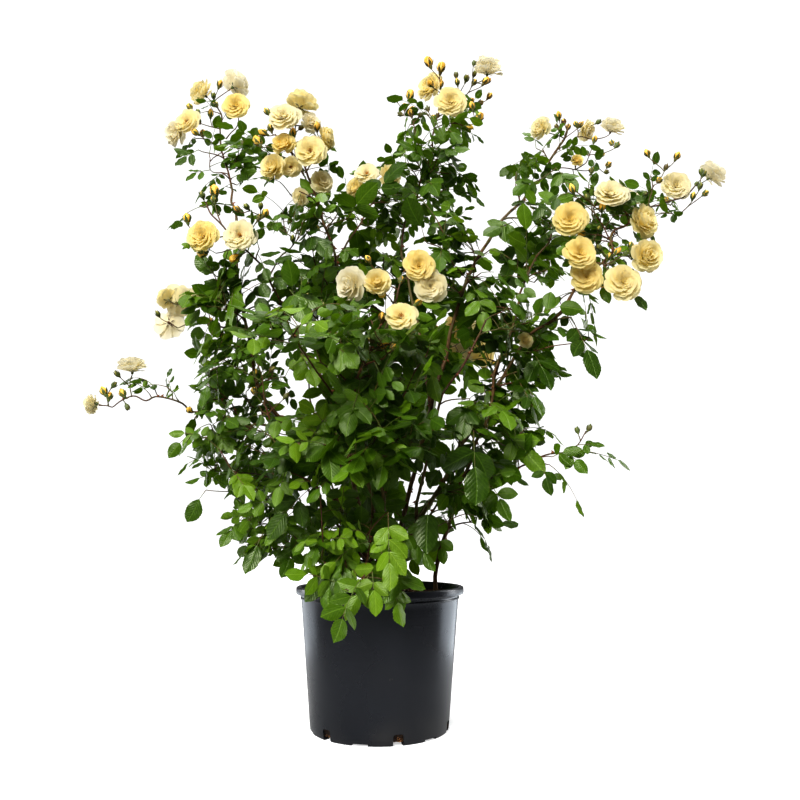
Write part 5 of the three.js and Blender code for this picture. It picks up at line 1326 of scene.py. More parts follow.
# Leafy shoots among the flowers: node, place in its box.
AMONG = [
    ("blooms_right", 0.30, 0.45, 0.62), ("blooms_right", 0.52, 0.50, 0.52), ("blooms_right", 0.66, 0.55, 0.70), ("blooms_right", 0.48, 0.60, 0.36),
    ("blooms_right", 0.78, 0.50, 0.40), ("blooms_right", 0.22, 0.60, 0.30), ("blooms_right", 0.86, 0.60, 0.78), ("blooms_right", 0.60, 0.35, 0.86),
    ("blooms_far_right", 0.16, 0.50, 0.20), ("blooms_upper_right", 0.20, 0.50, 0.20), ("blooms_upper_right", 0.40, 0.50, 0.30),
    ("blooms_top", 0.40, 0.50, 0.10), ("blooms_top", 0.55, 0.60, 0.05), ("blooms_upper_left", 0.40, 0.50, 0.10), ("blooms_upper_left", 0.62, 0.50, 0.06),
    ("blooms_second_left", 0.60, 0.50, 0.10), ("blooms_second_left", 0.42, 0.60, 0.15), ("blooms_left_cluster", 0.90, 0.60, 0.55),
    ("blooms_far_left_spray", 0.72, 0.50, 0.55), ("blooms_far_left_spray", 0.90, 0.50, 0.45), ("blooms_front", 0.20, 0.70, 0.30), ("blooms_front", 0.70, 0.70, 0.20),
    ("blooms_left_pair", 0.35, 0.60, 0.20), ("blooms_left_pair", 0.80, 0.60, 0.30),
    ("blooms_right", 0.67, 0.93, 0.93), ("blooms_right", 0.74, 0.93, 0.79), ("blooms_right", 0.82, 0.93, 0.89), ("blooms_right", 0.70, 0.93, 0.68),
    ("blooms_right", 0.82, 0.93, 0.68), ("blooms_right", 0.76, 0.93, 0.57), ("blooms_right", 0.89, 0.93, 0.98), ("blooms_right", 0.61, 0.93, 0.89),
    ("blooms_right", 0.66, 0.93, 0.78), ("blooms_right", 0.93, 0.93, 0.91), ("blooms_right", 0.59, 0.93, 1.18), ("blooms_right", 0.63, 0.93, 0.57),
    ("blooms_top", 0.46, 0.59, 0.21), ("blooms_top", 0.28, 0.59, 0.29), ("blooms_top", 0.58, 0.59, 0.34), ("blooms_upper_left", 0.68, 0.49, 0.34),
    ("blooms_upper_left", 0.51, 0.49, 0.50), ("blooms_second_left", 0.46, 0.87, 0.36), ("blooms_second_left", 0.35, 0.87, 0.48), ("blooms_second_left", 0.66, 0.87, 0.48),
    ("blooms_right", 0.60, 0.65, 0.88), ("blooms_right", 0.70, 0.65, 0.71), ("blooms_right", 0.60, 0.65, 0.56), ("blooms_right", 0.78, 0.65, 0.85),
    ("blooms_right", 0.51, 0.65, 0.95), ("blooms_right", 0.85, 0.65, 0.71), ("blooms_right", 0.95, 0.65, 0.88), ("blooms_right", 0.64, 0.65, 0.35),
    ("blooms_right", 0.83, 0.65, 1.08), ("blooms_right", 0.56, 0.65, 0.14), ("blooms_right", 0.40, 0.65, 0.10),
    ("blooms_right", 0.39, 0.65, 1.08), ("blooms_right", 1.02, 0.65, 0.80), ("blooms_far_right", 0.12, 0.47, -0.01), ("blooms_far_right", 0.25, 0.47, 0.13),
    ("blooms_far_right", -0.01, 0.47, 0.40), ("blooms_upper_right", 0.24, 0.36, 0.19), ("blooms_upper_right", 0.18, 0.36, -0.04), ("blooms_upper_right", 0.36, 0.36, 0.05),
    ("blooms_upper_right", 0.50, 0.36, -0.19), ("blooms_top", 0.34, 0.51, 0.14), ("blooms_top", 0.52, 0.51, 0.04), ("blooms_top", 0.65, 0.51, 0.20),
    ("blooms_top", 0.15, 0.51, 0.09), ("blooms_far_left_spray", 0.69, 0.52, 0.40), ("blooms_far_left_spray", 0.83, 0.52, 0.54), ("blooms_far_left_spray", 0.95, 0.52, 0.33),
    ("blooms_second_left", 0.05, 0.71, 0.41), ("blooms_second_left", 0.22, 0.71, 0.30), ("blooms_second_left", 0.34, 0.71, 0.11),
    ("blooms_left_pair", 0.11, 0.82, 1.01), ("blooms_left_pair", 0.33, 0.82, 0.91),
]
targets = []
for n in FOLIAGE:
    g = np.random.default_rng(sum(map(ord, n)))
    low, high = BOX[n]
    space = SPACING.get(n, 0.043)
    kept = []
    volume = float(np.prod(high - low))
    for _ in range(int(volume / space**3 * 9) + 60):
        p = g.uniform(low, high)
        d = depth_in(n, p)
        if d < (0.010 if n in LOOSE else 0.020):
            continue
        if in_gap(p)[0] or hides_bloom(p)[0]:
            continue
        outer = not in_crown(p + outward(p) * 0.085)
        gap = space * (0.84 if outer else 1.15)
        if all(np.linalg.norm(p - q) > (gap + e) / 2 for q, e, *_ in kept) and all(np.linalg.norm(p - q) > (gap + e) / 2 for q, e, *_ in targets):
            kept.append((p, gap, outer, n))
    targets += kept
for n, a, b, c in AMONG:
    targets.append((place(n, a, b, c), 0.04, True, n))
    LOOSE.add(n)
for n, a, b, c in MORE:
    targets.append((place("foliage_" + n, a, b, c), 0.04, True, "foliage_" + n))
print("shoots", len(targets), "outer", sum(t[2] for t in targets))

def own(p):
    """A shoot's own seed, so that one shoot more or less leaves the rest as they are."""
    return np.random.default_rng([int(abs(c) * 1e5) for c in p])


for k, (n, a, b, c, *_) in enumerate(STANDING):
    targets.append((place("foliage_" + n, a, b, c), 0.04, True, k))
order = sorted(range(len(targets)), key=lambda i: float(np.min(np.linalg.norm(SK.p[: SK.n][SK.k[: SK.n] == LEADER] - targets[i][0], axis=1))))
shoots = []
plans, owner = [], {}
for i in order:
    p, gap, outer, n = targets[i]
    rng = own(p)
    j = SK.nearest(p, (LEADER, TWIG), turn=0.8, below=1.2, thin=0.2)
    p0, d0 = SK.p[j].copy(), SK.d[j].copy()
    span = float(np.linalg.norm(p - p0))
    way = unit(p - p0)
    end = unit(way * 0.8 + outward(p) * 0.4 + UP * rng.uniform(-0.35, 0.45) + rng.normal(0, 0.25, 3))
    lead = unit(d0 * 0.4 + way * 0.8 + UP * 0.2)
    path = bezier(p0, p0 + lead * span * 0.38, p - end * span * 0.28, p, max(5, int(span / 0.008)))
    r0 = min(SK.r[j] * 0.72, 0.0017 + 0.004 * span)
    rad = np.linspace(max(r0, 0.0011), 0.00085, len(path))
    plans.append([young if rng.random() < 0.40 else green_shoot, path, rad, j, 0, len(shoots)])
    owner.update({k: (len(shoots), k - SK.n + 1) for k in range(SK.n, SK.n + len(path) - 1)})
    SK.add(path[1:], rad[1:], TWIG)
    shoots.append((path, outer, n))


# ---------------------------------------------------------------- leaves


def zip_rows(ia, ta, ib, tb):
    """Triangles between two rows of points that don't match in number."""
    out, a, b = [], 0, 0
    while a < len(ia) - 1 or b < len(ib) - 1:
        if b == len(ib) - 1 or (a < len(ia) - 1 and ta[a + 1] <= tb[b + 1]):
            out.append([ia[a], ib[b], ia[a + 1]])
            a += 1
        else:
            out.append([ia[a], ib[b], ib[b + 1]])
            b += 1
    return out


OUTLINE_T = [0.0, 0.04, 0.11, 0.20, 0.32, 0.44, 0.56, 0.67, 0.77, 0.86, 0.93, 1.0]
OUTLINE_W = [0.0, 0.21, 0.52, 0.78, 0.95, 1.00, 0.98, 0.90, 0.74, 0.50, 0.26, 0.0]


def make_leaflet(seed, teeth, ribs):
    """One blade of unit length along +Y and unit width across X, with its foot at the origin."""
    g = np.random.default_rng(seed)
    skew = g.uniform(0.84, 1.14)

    def half(t):
        return 0.5 * np.interp(np.clip(t, 0, 1) ** skew, OUTLINE_T, OUTLINE_W)

    fold = g.uniform(0.04, 0.34)
    roll = g.uniform(0.05, 0.50)
    bend = g.uniform(-0.05, 0.42)
    wave, ph = g.uniform(0.008, 0.026), g.uniform(0, 6.28)
    sway = g.uniform(-0.07, 0.07)

    def shape(x, t, side):
        z = fold * np.abs(x) - roll * x * x * 2.2 - bend * t * t * 0.6
        z = z + wave * np.sin(t * 15 + ph + side) * (np.abs(x) / 0.3)
        return np.stack([x + sway * np.sin(t * math.pi), t - 0.10 * t * t * bend, z], -1)

    V, F, W, n = [], [], [], 0
    for side in (-1, 1):
        tm = np.linspace(0, 1, ribs)
        ts = tm[1:-1]
        te, xe = [], []
        for k in range(teeth):
            a, b = (k + 0.12) / teeth, (k + 0.84) / teeth
            te += [a, b]
            xe += [float(half(a)) * 0.965, float(half(b)) * 1.0 + 0.015 * (1 - 0.4 * b)]
        te = np.array([0.0] + te + [1.0])
        xe = np.array([0.0] + xe + [0.0])
        parts = [(tm, np.zeros_like(tm)), (ts, half(ts) * 0.52), (te, xe)]
        ids = []
        for t, x in parts:
            V.append(shape(side * x, t, side))
            W.append(np.stack([0.5 + side * x * 0.94, 0.02 + 0.96 * t], -1))
            ids.append(np.arange(n, n + len(t)))
            n += len(t)
        mid = np.concatenate([[ids[0][0]], ids[1], [ids[0][-1]]])
        tmid = np.concatenate([[0], ts, [1]])
        f = zip_rows(ids[0], tm, mid, tmid) + zip_rows(mid, tmid, ids[2], te)
        f = [q for q in f if len(set(q)) == 3]
        if side < 0:
            f = [[q[0], q[2], q[1]] for q in f]
        F += f
    V, F, W = np.vstack(V), np.array(F), np.vstack(W)
    # Drop slivers at the two ends, where rows share a corner.
    a, b, c = V[F[:, 0]], V[F[:, 1]], V[F[:, 2]]
    n = np.cross(b - a, c - a)
    keep = np.linalg.norm(n, axis=1) > 1e-6
    F, n = F[keep], n[keep]
    flip = n[:, 2] < 0
    F[flip] = F[flip][:, ::-1]
    return V, F, W


FINE = [make_leaflet(500 + i, 9, 7) for i in range(12)]
PLAIN = [make_leaflet(700 + i, 5, 4) for i in range(7)]

blades = []  # foot, along, face, length, width, fine or plain, tint
rachis = Heap()


def compound(at, way, face, size, pairs, droop=None):
    """A pinnate leaf: a drooping stalk, pairs of leaflets and one at its end. Gives the stalk and the leaflets."""
    reach = size * (1.0 + 0.52 * pairs)
    d = unit(way)
    pts, here = [at], np.array(at, float)
    steps = 7
    if droop is None:
        droop = rng.uniform(0.2, 1.0)
    for k in range(steps):
        d = unit(d + np.array([0, 0, -droop / steps]))
        here = here + d * reach / steps
        pts.append(here)
    path = np.array(pts)
    t = tangents(path)
    spots = {0: [], 1: [0.60], 2: [0.40, 0.72], 3: [0.30, 0.54, 0.78]}[pairs]
    out = []
    for k, f in enumerate(spots):
        x = f * steps
        i = int(x)
        p = path[i] + (path[i + 1] - path[i]) * (x - i)
        dd = t[i]
        nn = unit(face - dd * np.dot(face, dd))
        sx = np.cross(dd, nn)
        for side in (-1, 1):
            spread = math.radians(rng.uniform(44, 76))
            along = unit(dd * math.cos(spread) + sx * side * math.sin(spread) - UP * rng.uniform(0.0, 0.55) + rng.normal(0, 0.12, 3))
            tilt = unit(nn + sx * side * rng.uniform(-0.35, 0.35) + rng.normal(0, 0.22, 3))
            L = size * (0.72 + 0.24 * (k + 1) / len(spots)) * rng.uniform(0.86, 1.12)
            out.append((p + along * 0.0010, along, tilt, L, L * rng.uniform(0.53, 0.68)))
    dd = t[-1]
    nn = unit(face - dd * np.dot(face, dd))
    L = size * rng.uniform(1.0, 1.22)
    out.append((path[-1], unit(dd - UP * rng.uniform(0, 0.45)), unit(nn + rng.normal(0, 0.18, 3)), L, L * rng.uniform(0.54, 0.68)))
    return path, out


def probe(leaf):
    """Points spread over a leaflet: its middle, sides and tip."""
    foot, along, tilt, L, W = leaf
    n = unit(tilt - along * np.dot(tilt, along))
    sx = np.cross(along, n) * W * 0.42
    return np.array([foot + along * L * 0.5, foot + along * L * 0.5 + sx, foot + along * L * 0.5 - sx, foot + along * L * 0.97, foot + along * L * 0.15])


LEAST, MOST = np.array(CAD_BOX[0]) - 0.022, np.array(CAD_BOX[1]) + 0.022


def judge(leaves):
    """For each leaflet of a leaf, whether it keeps to the crown and clear of openings and flowers."""
    P = np.array([probe(q) for q in leaves])
    flat = P.reshape(-1, 3)
    gap = in_gap(flat).reshape(P.shape[:2]).sum(1)
    below = (flat[:, 2] < BOX["foliage_skirt_front"][0][2] + 0.004) & (np.linalg.norm(flat[:, :2], axis=1) < 0.24)
    hide = (hides_bloom(flat) | below | (flat < LEAST).any(1) | (flat > MOST).any(1)).reshape(P.shape[:2]).any(1)
    out = np.array([not in_crown(q[3], 0.010) for q in P])
    far = np.array([o and not in_crown(q[3], 0.030) for o, q in zip(out, P)])
    return gap, hide, out, far


DEEP, MID, LIGHT, YOUNG = 0, 1, 2, 3
leaf_count = 0
stand_c, stand_r = [], []
for plan, (path, outer, n) in zip(plans, shoots):
    if not isinstance(n, int):
        continue
    plan[4] = len(path)
    # A leaf of the list: its stalk runs where the list says, and nothing grows in front of it.
    rng = own(path[-1] + 0.5)
    _, a, b, c, run, pairs, size, tint = STANDING[n]
    run = np.array(run) * MM
    reach = float(np.linalg.norm(run))
    stem, leaves = compound(path[-1], unit(run), unit(np.array([0.0, -1.0, 0.45]) + rng.normal(0, 0.22, 3)), size * MM, pairs, droop=0.08)
    scale = reach / (size * MM * (1.0 + 0.52 * pairs))
    stem2 = path[-1] + (stem - path[-1]) * scale
    leaves = [((q[0] - path[-1]) * scale + path[-1], *q[1:]) for q in leaves]
    tube(rachis, stem2, np.linspace(0.00085, 0.00045, len(stem2)), 5, tip=False)
    for q in leaves:
        blades.append((*q, True, tint))
        stand_c.append(q[0] + q[1] * q[3] * 0.5)
        stand_r.append(q[4] * 0.5)
    leaf_count += 1
stand_c, stand_r = np.array(stand_c), np.array(stand_r)
stand_eye = unit(EYE - stand_c)


def hides_leaf(P):
    """Which of the points stand before one of those leaves."""
    d = P[:, None] - stand_c[None]
    h = np.einsum("pbi,bi->pb", d, stand_eye)
    off = np.linalg.norm(d - h[..., None] * stand_eye[None], axis=2)
    return ((h > -0.004) & (h < 0.25) & (off < stand_r)).any(1)


for plan, (path, outer, n) in zip(plans, shoots):
    if isinstance(n, int):
        continue
    rng = own(path[-1] + 0.5)
    t = tangents(path)
    s = np.concatenate([[0], np.cumsum(np.linalg.norm(np.diff(path, axis=0), axis=1))])
    tip = path[-1]
    loose = n in LOOSE
    upper = smooth(0.55, 0.95, tip[2])
    front = smooth(0.05, -0.25, tip[1])
    low = smooth(0.62, 0.36, tip[2])
    # Leaves inside the crown take mostly the deep green: partly the darker tint of older leaves, partly painted shade
    # that darkens the inside of the crown.
    if outer:
        w = np.array([0.26 + 0.25 * upper, 0.42, 0.22 + 0.25 * low * front, 0.05 + 0.24 * low * front])
    else:
        w = np.array([0.66, 0.30, 0.04, 0.0])
    tint = int(rng.choice(4, p=w / w.sum()))
    spacing = rng.uniform(0.016, 0.026)
    count = 4 if outer and rng.random() < 0.5 else 3
    if loose:
        count = 3 if n in ("foliage_skirt_front", "foliage_top_stem", "foliage_neck") else 2
    phase = rng.uniform(0, 6.28)
    for k in range(count):
        back = k * spacing
        if back > s[-1] * 0.9:
            break
        x = np.interp(s[-1] - back, s, np.arange(len(s)))
        i = min(int(x), len(path) - 2)
        p = path[i] + (path[i + 1] - path[i]) * (x - i)
        dd = t[i]
        a1, a2 = across(dd)
        out = outward(p)
        young_leaf = tint == YOUNG
        base = (0.0285 if young_leaf else 0.0360) * (0.82 if loose and n != "foliage_skirt_front" else 1.0)
        # The low left side is in small young leaf; the right and the skirt carry the broadest.
        region = 1.0 - 0.24 * smooth(-0.04, -0.16, tip[0]) * smooth(0.68, 0.56, tip[2]) + 0.06 * smooth(0.0, 0.08, tip[0]) * smooth(0.75, 0.6, tip[2])
        size = base * region * math.exp(rng.normal(0, 0.17)) * (0.85 if k == 0 and not young_leaf else 1.0)
        pairs = int(rng.choice([1, 2, 3], p=[0.16, 0.66, 0.18]))
        if not outer:
            pairs = min(pairs, 2)
        sun = np.array([0, -0.35, 0]) * smooth(0.12, -0.12, p[1])
        best = None
        for attempt in range(6):
            ang = phase + k * 2.4 + rng.normal(0, 0.9) * (attempt > 0)
            spread = math.radians(rng.uniform(38, 80) if k else rng.uniform(8, 50))
            side = a1 * math.cos(ang) + a2 * math.sin(ang)
            way = unit(dd * math.cos(spread) + side * math.sin(spread) + out * rng.uniform(0.0, 0.35) + UP * rng.uniform(-0.15, 0.25))
            face = unit(UP * rng.uniform(0.15, 0.9) + out * rng.uniform(0.15, 0.95) + sun + rng.normal(0, 0.36, 3))
            stem, leaves = compound(p, way, face, size, pairs)
            gap, hide, off, far = judge(leaves)
            hide = hide | hides_leaf(np.array([q[0] + q[1] * q[3] * 0.55 for q in leaves]))
            if not loose:
                hide = hide | far
            score = (gap > 1).mean() * 1.2 + hide.mean() * 1.6 + off.mean() * (0.5 if loose else 0.9) + rng.uniform(0, 0.04)
            if best is None or score < best[0]:
                best = (score, stem, leaves, gap, hide, off)
            if score < 0.08:
                break
        score, stem, leaves, gap, hide, off = best
        keep = ~((gap > 1) | hide)
        if keep.sum() < len(leaves) * 0.45 or (off.mean() > 0.75 and not loose):
            continue
        last = len(stem) if keep[-1] else 5
        tube(rachis, stem[:last], np.linspace(0.00075, 0.00042, len(stem))[:last], 4, tip=False)
        for ok, q in zip(keep, leaves):
            if ok:
                blades.append((*q, outer, tint))
        plan[4] = max(plan[4], i + 2)
        leaf_count += 1
print("leaves", leaf_count, "leaflets", len(blades))
# A shoot is as long as its last leaf or side shoot needs, and one with neither isn't there.
for heap, path, rad, foot, need, _ in reversed(plans):
    if need and foot in owner:
        up, k = owner[foot]
        plans[up][4] = max(plans[up][4], k + 2)
for heap, path, rad, foot, need, _ in plans:
    need = min(need, len(path))
    if need > 2:
        tube(heap, path[:need], rad[:need], 6, tip=True)

leaf_heaps = {}
g = np.random.default_rng(99)
foot = np.array([b[0] for b in blades])
along = unit(np.array([b[1] for b in blades]))
face = np.array([b[2] for b in blades])
face = unit(face - along * np.einsum("ij,ij->i", face, along)[:, None])
cross = np.cross(along, face)
length = np.array([b[3] for b in blades])
width = np.array([b[4] for b in blades])
fine = np.array([b[5] for b in blades], bool)
tint = np.array([b[6] for b in blades], int)
kind = g.integers(0, 1000, len(blades))
cells = g.integers(0, 4, (len(blades), 2))
for tt in range(4):
    leaf_heaps[tt] = Heap()
    for is_fine, forms in ((True, FINE), (False, PLAIN)):
        for f, (V, F, W) in enumerate(forms):
            pick = np.where((tint == tt) & (fine == is_fine) & (kind % len(forms) == f))[0]
            if not len(pick):
                continue
            v = (
                foot[pick][:, None]
                + V[None, :, 0:1] * (cross[pick] * width[pick][:, None])[:, None]
                + V[None, :, 1:2] * (along[pick] * length[pick][:, None])[:, None]
                + V[None, :, 2:3] * (face[pick] * width[pick][:, None])[:, None]
            )
            uv = (cells[pick][:, None] + np.clip(W, 0.02, 0.98)[None]) / 4
            leaf_heaps[tt].many(v, F, uv)


# ---------------------------------------------------------------- stock, pot and compost


def turned(profile, sides, wobble=None):
    """A closed turned body from a closed loop of (radius, height)."""
    prof = np.array(profile, float)
    a = np.linspace(0, 2 * math.pi, sides, endpoint=False)
    R, H = np.meshgrid(prof[:, 0], a, indexing="ij")[0], np.meshgrid(prof[:, 1], a, indexing="ij")[0]
    A = np.broadcast_to(a[None], R.shape)
    v = np.stack([R * np.cos(A), R * np.sin(A), H], -1).reshape(-1, 3)
    n = len(prof)
    i = np.arange(n)[:, None]
    j = np.arange(sides)[None]
    q = np.stack([i * sides + j, i * sides + (j + 1) % sides, ((i + 1) % n) * sides + (j + 1) % sides, ((i + 1) % n) * sides + j], -1).reshape(-1, 4)
    return v, q


low, high = BOX["pot"]
POT_H = high[2]
RIM = (high[0] - low[0]) / 2
NECK = RIM * 131.8 / 140
BASE = RIM * 112.6 / 140
WALL = 0.0020


def wall_radius(z):
    return BASE + (NECK - BASE) * np.clip(z / (POT_H - 0.0125), 0, 1)


def arc(cx, cz, r, a0, a1, n):
    a = np.radians(np.linspace(a0, a1, n))
    return [(cx + r * math.cos(q), cz + r * math.sin(q)) for q in a]


H = POT_H
prof = [(0.0001, 0.0046), (0.0001, 0.0022)]
prof += [(BASE * 0.30, 0.0022), (BASE * 0.62, 0.0022), (BASE - 0.0130, 0.0022), (BASE - 0.0105, 0.0002), (BASE - 0.0090, 0.0)]
prof += [(BASE - 0.0030, 0.0)] + arc(BASE - 0.0030, 0.0030, 0.0030, -90, -8, 6)[1:]
for z in np.linspace(0.010, 0.2030, 34):
    prof.append((wall_radius(z), z))
zb = 0.207
rb = wall_radius(zb)
prof += [(rb + 0.0001, zb - 0.0022)] + [(rb + 0.0014 * math.cos(q), zb + 0.0016 * math.sin(q)) for q in np.radians(np.linspace(-80, 80, 9))] + [(rb + 0.0001, zb + 0.0022)]
prof += [(wall_radius(H - 0.0140) + 0.0001, H - 0.0140), (NECK + 0.0007, H - 0.0128), (NECK + 0.0022, H - 0.0122), (RIM - 0.0030, H - 0.0118)]
prof += arc(RIM - 0.0024, H - 0.0096, 0.0024, -80, 0, 5)
prof += [(RIM, H - 0.0060), (RIM, H - 0.0030)] + arc(RIM - 0.0026, H - 0.0026, 0.0026, 0, 90, 7)
prof += [(RIM - 0.0048, H - 0.0002)] + arc(RIM - 0.0060, H - 0.0024, 0.0022, 90, 175, 6)
prof += [(RIM - 0.0088, H - 0.0075), (NECK - WALL, H - 0.0110)]
for z in np.linspace(H - 0.018, 0.0065, 16):
    prof.append((wall_radius(z) - WALL, z))
prof += [(BASE - 0.0060, 0.0048), (BASE * 0.5, 0.0046)]
v, q = turned(prof, 192)
pot_heap = Heap()
pot_heap.add(v, None, q)
pot_me = pot_heap.mesh("pot_body")
pot = bpy.data.objects.new("pot_body", pot_me)
bpy.context.scene.collection.objects.link(pot)


def cutter(parts):
    h = Heap()
    for centre, yaw, size in parts:
        # A rounded slot cut from outside in.
        w, d, t = size
        n = 6
        outline = []
        r = min(w, t) * 0.22
        for cx, cz, a0 in ((w / 2 - r, t - r, 0), (-(w / 2 - r), t - r, 90)):
            outline += [(cx + r * math.cos(math.radians(a0 + 90 * k / n)), cz + r * math.sin(math.radians(a0 + 90 * k / n))) for k in range(n + 1)]
        outline += [(-w / 2, -0.01), (w / 2, -0.01)]
        o = np.array(outline)
        c, s = math.cos(yaw), math.sin(yaw)
        m = len(o)
        pts = []
        for depth in (-d / 2, d / 2):
            for x, z in o:
                pts.append([centre[0] + c * x - s * depth, centre[1] + s * x + c * depth, centre[2] + z])
        quads = [[k, (k + 1) % m, m + (k + 1) % m, m + k] for k in range(m)]
        tris = [[0, k + 1, k] for k in range(1, m - 1)] + [[m, m + k, m + k + 1] for k in range(1, m - 1)]
        tris = [[b, a, c2] for a, b, c2 in tris]
        h.add(pts, tris, [[b, a, d2, c2] for a, b, c2, d2 in quads])
    me = h.mesh("cutter")
    ob = bpy.data.objects.new("cutter", me)
    bpy.context.scene.collection.objects.link(ob)
    import bmesh
    bm = bmesh.new()
    bm.from_mesh(me)
    bmesh.ops.recalc_face_normals(bm, faces=bm.faces)
    bm.to_mesh(me)
    bm.free()
    return ob


cuts = []
for k in range(6):
    a = math.radians(16 + 60 * k)
    x, y = math.sin(a) * (BASE - 0.004), -math.cos(a) * (BASE - 0.004)
    cuts.append(((x, y, 0.0), a, (0.016, 0.030, 0.017)))
    a = math.radians(46 + 60 * k)
    x, y = math.sin(a) * (BASE - 0.002), -math.cos(a) * (BASE - 0.002)
    cuts.append(((x, y, -0.0001), a, (0.026, 0.018, 0.0034)))
knife = cutter(cuts)
mod = pot.modifiers.new("cut", "BOOLEAN")
mod.operation, mod.solver, mod.object = "DIFFERENCE", "EXACT", knife
dg = bpy.context.evaluated_depsgraph_get()
done = bpy.data.meshes.new_from_object(pot.evaluated_get(dg))
pot.modifiers.clear()
pot.data = done
done.name = "pot_body"
bpy.data.objects.remove(knife)
done.polygons.foreach_set("use_smooth", np.ones(len(done.polygons), bool))
sharp = done.attributes.get("sharp_edge") or done.attributes.new("sharp_edge", "BOOLEAN", "EDGE")
import bmesh
bm = bmesh.new()
bm.from_mesh(done)
for e in bm.edges:
    if len(e.link_faces) == 2 and e.calc_face_angle(0) > math.radians(38):
        e.smooth = False
bm.to_mesh(done)
bm.free()
done.materials.clear()
done.materials.append(pot_material())
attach(pot, "root")
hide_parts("pot")
print("piece pot_body", sum(len(p.vertices) - 2 for p in done.polygons), "verts", len(done.vertices))

# Compost: a crumbly top that dips to the wall, on a plain body down to the floor of the pot.
gl, gh = BOX["root_ball"]
TOP = gh[2]
soil = Heap()
g = np.random.default_rng(11)
wave = [(g.uniform(30, 420), g.uniform(0, 6.28), g.uniform(0, 6.28)) for _ in range(26)]


def soil_height(x, y):
    h = 0
    for f, a, ph in wave:
        h = h + np.sin(f * (x * math.cos(a) + y * math.sin(a)) + ph) * 0.052 / f**0.92
    return h


inner = wall_radius(TOP) - WALL - 0.0006
rr = np.concatenate([np.linspace(0.006, inner * 0.98, 62), [inner]])
aa = np.linspace(0, 2 * math.pi, 190, endpoint=False)
R, A = np.meshgrid(rr, aa, indexing="ij")
X, Y = R * np.cos(A), R * np.sin(A)
Z = TOP - 0.0008 + np.clip(soil_height(X, Y), -0.004, 0.0035) + 0.0045 * np.exp(-((R / 0.045) ** 2)) + 0.0022 * smooth(inner - 0.02, inner, R)
v = np.stack([X, Y, Z], -1).reshape(-1, 3)
n, m = len(rr), len(aa)
i, j = np.arange(n - 1)[:, None] * m, np.arange(m)[None]
q = np.stack([i + j, i + m + j, i + m + (j + 1) % m, i + (j + 1) % m], -1).reshape(-1, 4)
bottom = np.stack([(wall_radius(0.012) - WALL - 0.001) * np.cos(aa), (wall_radius(0.012) - WALL - 0.001) * np.sin(aa), 0.0062 + 0 * aa], -1)
v = np.vstack([v, bottom, [0, 0, TOP + 0.004], [0, 0, 0.0062]])
b = n * m
last = (n - 1) * m
jj = np.arange(m)
q2 = np.stack([last + jj, b + jj, b + (jj + 1) % m, last + (jj + 1) % m], -1)
t = np.concatenate([np.stack([(jj + 1) % m, np.full(m, b + m), jj], -1)[:, [0, 1, 2]], np.stack([b + (jj + 1) % m, b + jj, np.full(m, b + m + 1)], -1)])
soil.add(v, t, np.vstack([q, q2]))


def chunk(heap, at, size, g, stretch):
    """An irregular crumb or flake: a cut-down ball with its corners pushed about."""
    phi = (1 + 5**0.5) / 2
    V = unit(np.array([[-1, phi, 0], [1, phi, 0], [-1, -phi, 0], [1, -phi, 0], [0, -1, phi], [0, 1, phi], [0, -1, -phi], [0, 1, -phi], [phi, 0, -1], [phi, 0, 1], [-phi, 0, -1], [-phi, 0, 1]]))
    F = [[0, 11, 5], [0, 5, 1], [0, 1, 7], [0, 7, 10], [0, 10, 11], [1, 5, 9], [5, 11, 4], [11, 10, 2], [10, 7, 6], [7, 1, 8], [3, 9, 4], [3, 4, 2], [3, 2, 6], [3, 6, 8], [3, 8, 9], [4, 9, 5], [2, 4, 11], [6, 2, 10], [8, 6, 7], [9, 8, 1]]
    V = V * g.uniform(0.72, 1.15, (12, 1)) * np.array(stretch)
    a, b2, c = g.uniform(0, 6.28), g.normal(0, 0.35), g.normal(0, 0.35)
    Rz = np.array([[math.cos(a), -math.sin(a), 0], [math.sin(a), math.cos(a), 0], [0, 0, 1]])
    Rx = np.array([[1, 0, 0], [0, math.cos(b2), -math.sin(b2)], [0, math.sin(b2), math.cos(b2)]])
    heap.add(at + (V @ Rx @ Rz) * size, F)


chips_dark, chips_pale = Heap(), Heap()
for k in range(760):
    a, r = g.uniform(0, 6.28), inner * 0.975 * math.sqrt(g.uniform(0.01, 1))
    x, y = r * math.cos(a), r * math.sin(a)
    if math.hypot(x - 0.0955, y - 0.033) < 0.0075 or r < 0.022:
        continue
    z = TOP + float(np.clip(soil_height(x, y), -0.004, 0.0035)) + 0.0045 * math.exp(-((r / 0.045) ** 2))
    s = g.uniform(0.0014, 0.0050)
    if g.random() < 0.80:
        chunk(chips_dark, np.array([x, y, z - s * 0.1]), s, g, (1.5, 0.8, 0.55))
    else:
        chunk(chips_pale, np.array([x, y, z]), s * 0.55, g, (1.2, 0.9, 0.7))

# The stock: a knobbly union with the stubs of old canes.
sl, sh = BOX["stock"]
sc = (sl + sh) / 2
n, m = 40, 44
hs = np.linspace(0, 1, n)
A = np.linspace(0, 2 * math.pi, m, endpoint=False)
HH, AA = np.meshgrid(hs, A, indexing="ij")
base_r = 0.0235 * (1 - HH) ** 2.2 * 0.55 + 0.0152 * (1 - 0.10 * HH) * np.sqrt(np.clip(1 - HH**5.5, 0.0, 1)) + 0.0004
lump = 1 + 0.10 * np.sin(3 * AA + 5 * HH) + 0.07 * np.sin(5 * AA - 7 * HH + 1) + 0.05 * np.sin(11 * AA + 16 * HH) + 0.035 * np.sin(23 * AA - 31 * HH)
Rr = base_r * lump
Zz = sl[2] - 0.004 + (sh[2] - sl[2] + 0.003) * HH
v = np.stack([sc[0] + Rr * np.cos(AA), sc[1] + Rr * np.sin(AA), Zz], -1).reshape(-1, 3)
i, j = np.arange(n - 1)[:, None] * m, np.arange(m)[None]
q = np.stack([i + j, i + (j + 1) % m, i + m + (j + 1) % m, i + m + j], -1).reshape(-1, 4)
stock = Heap()
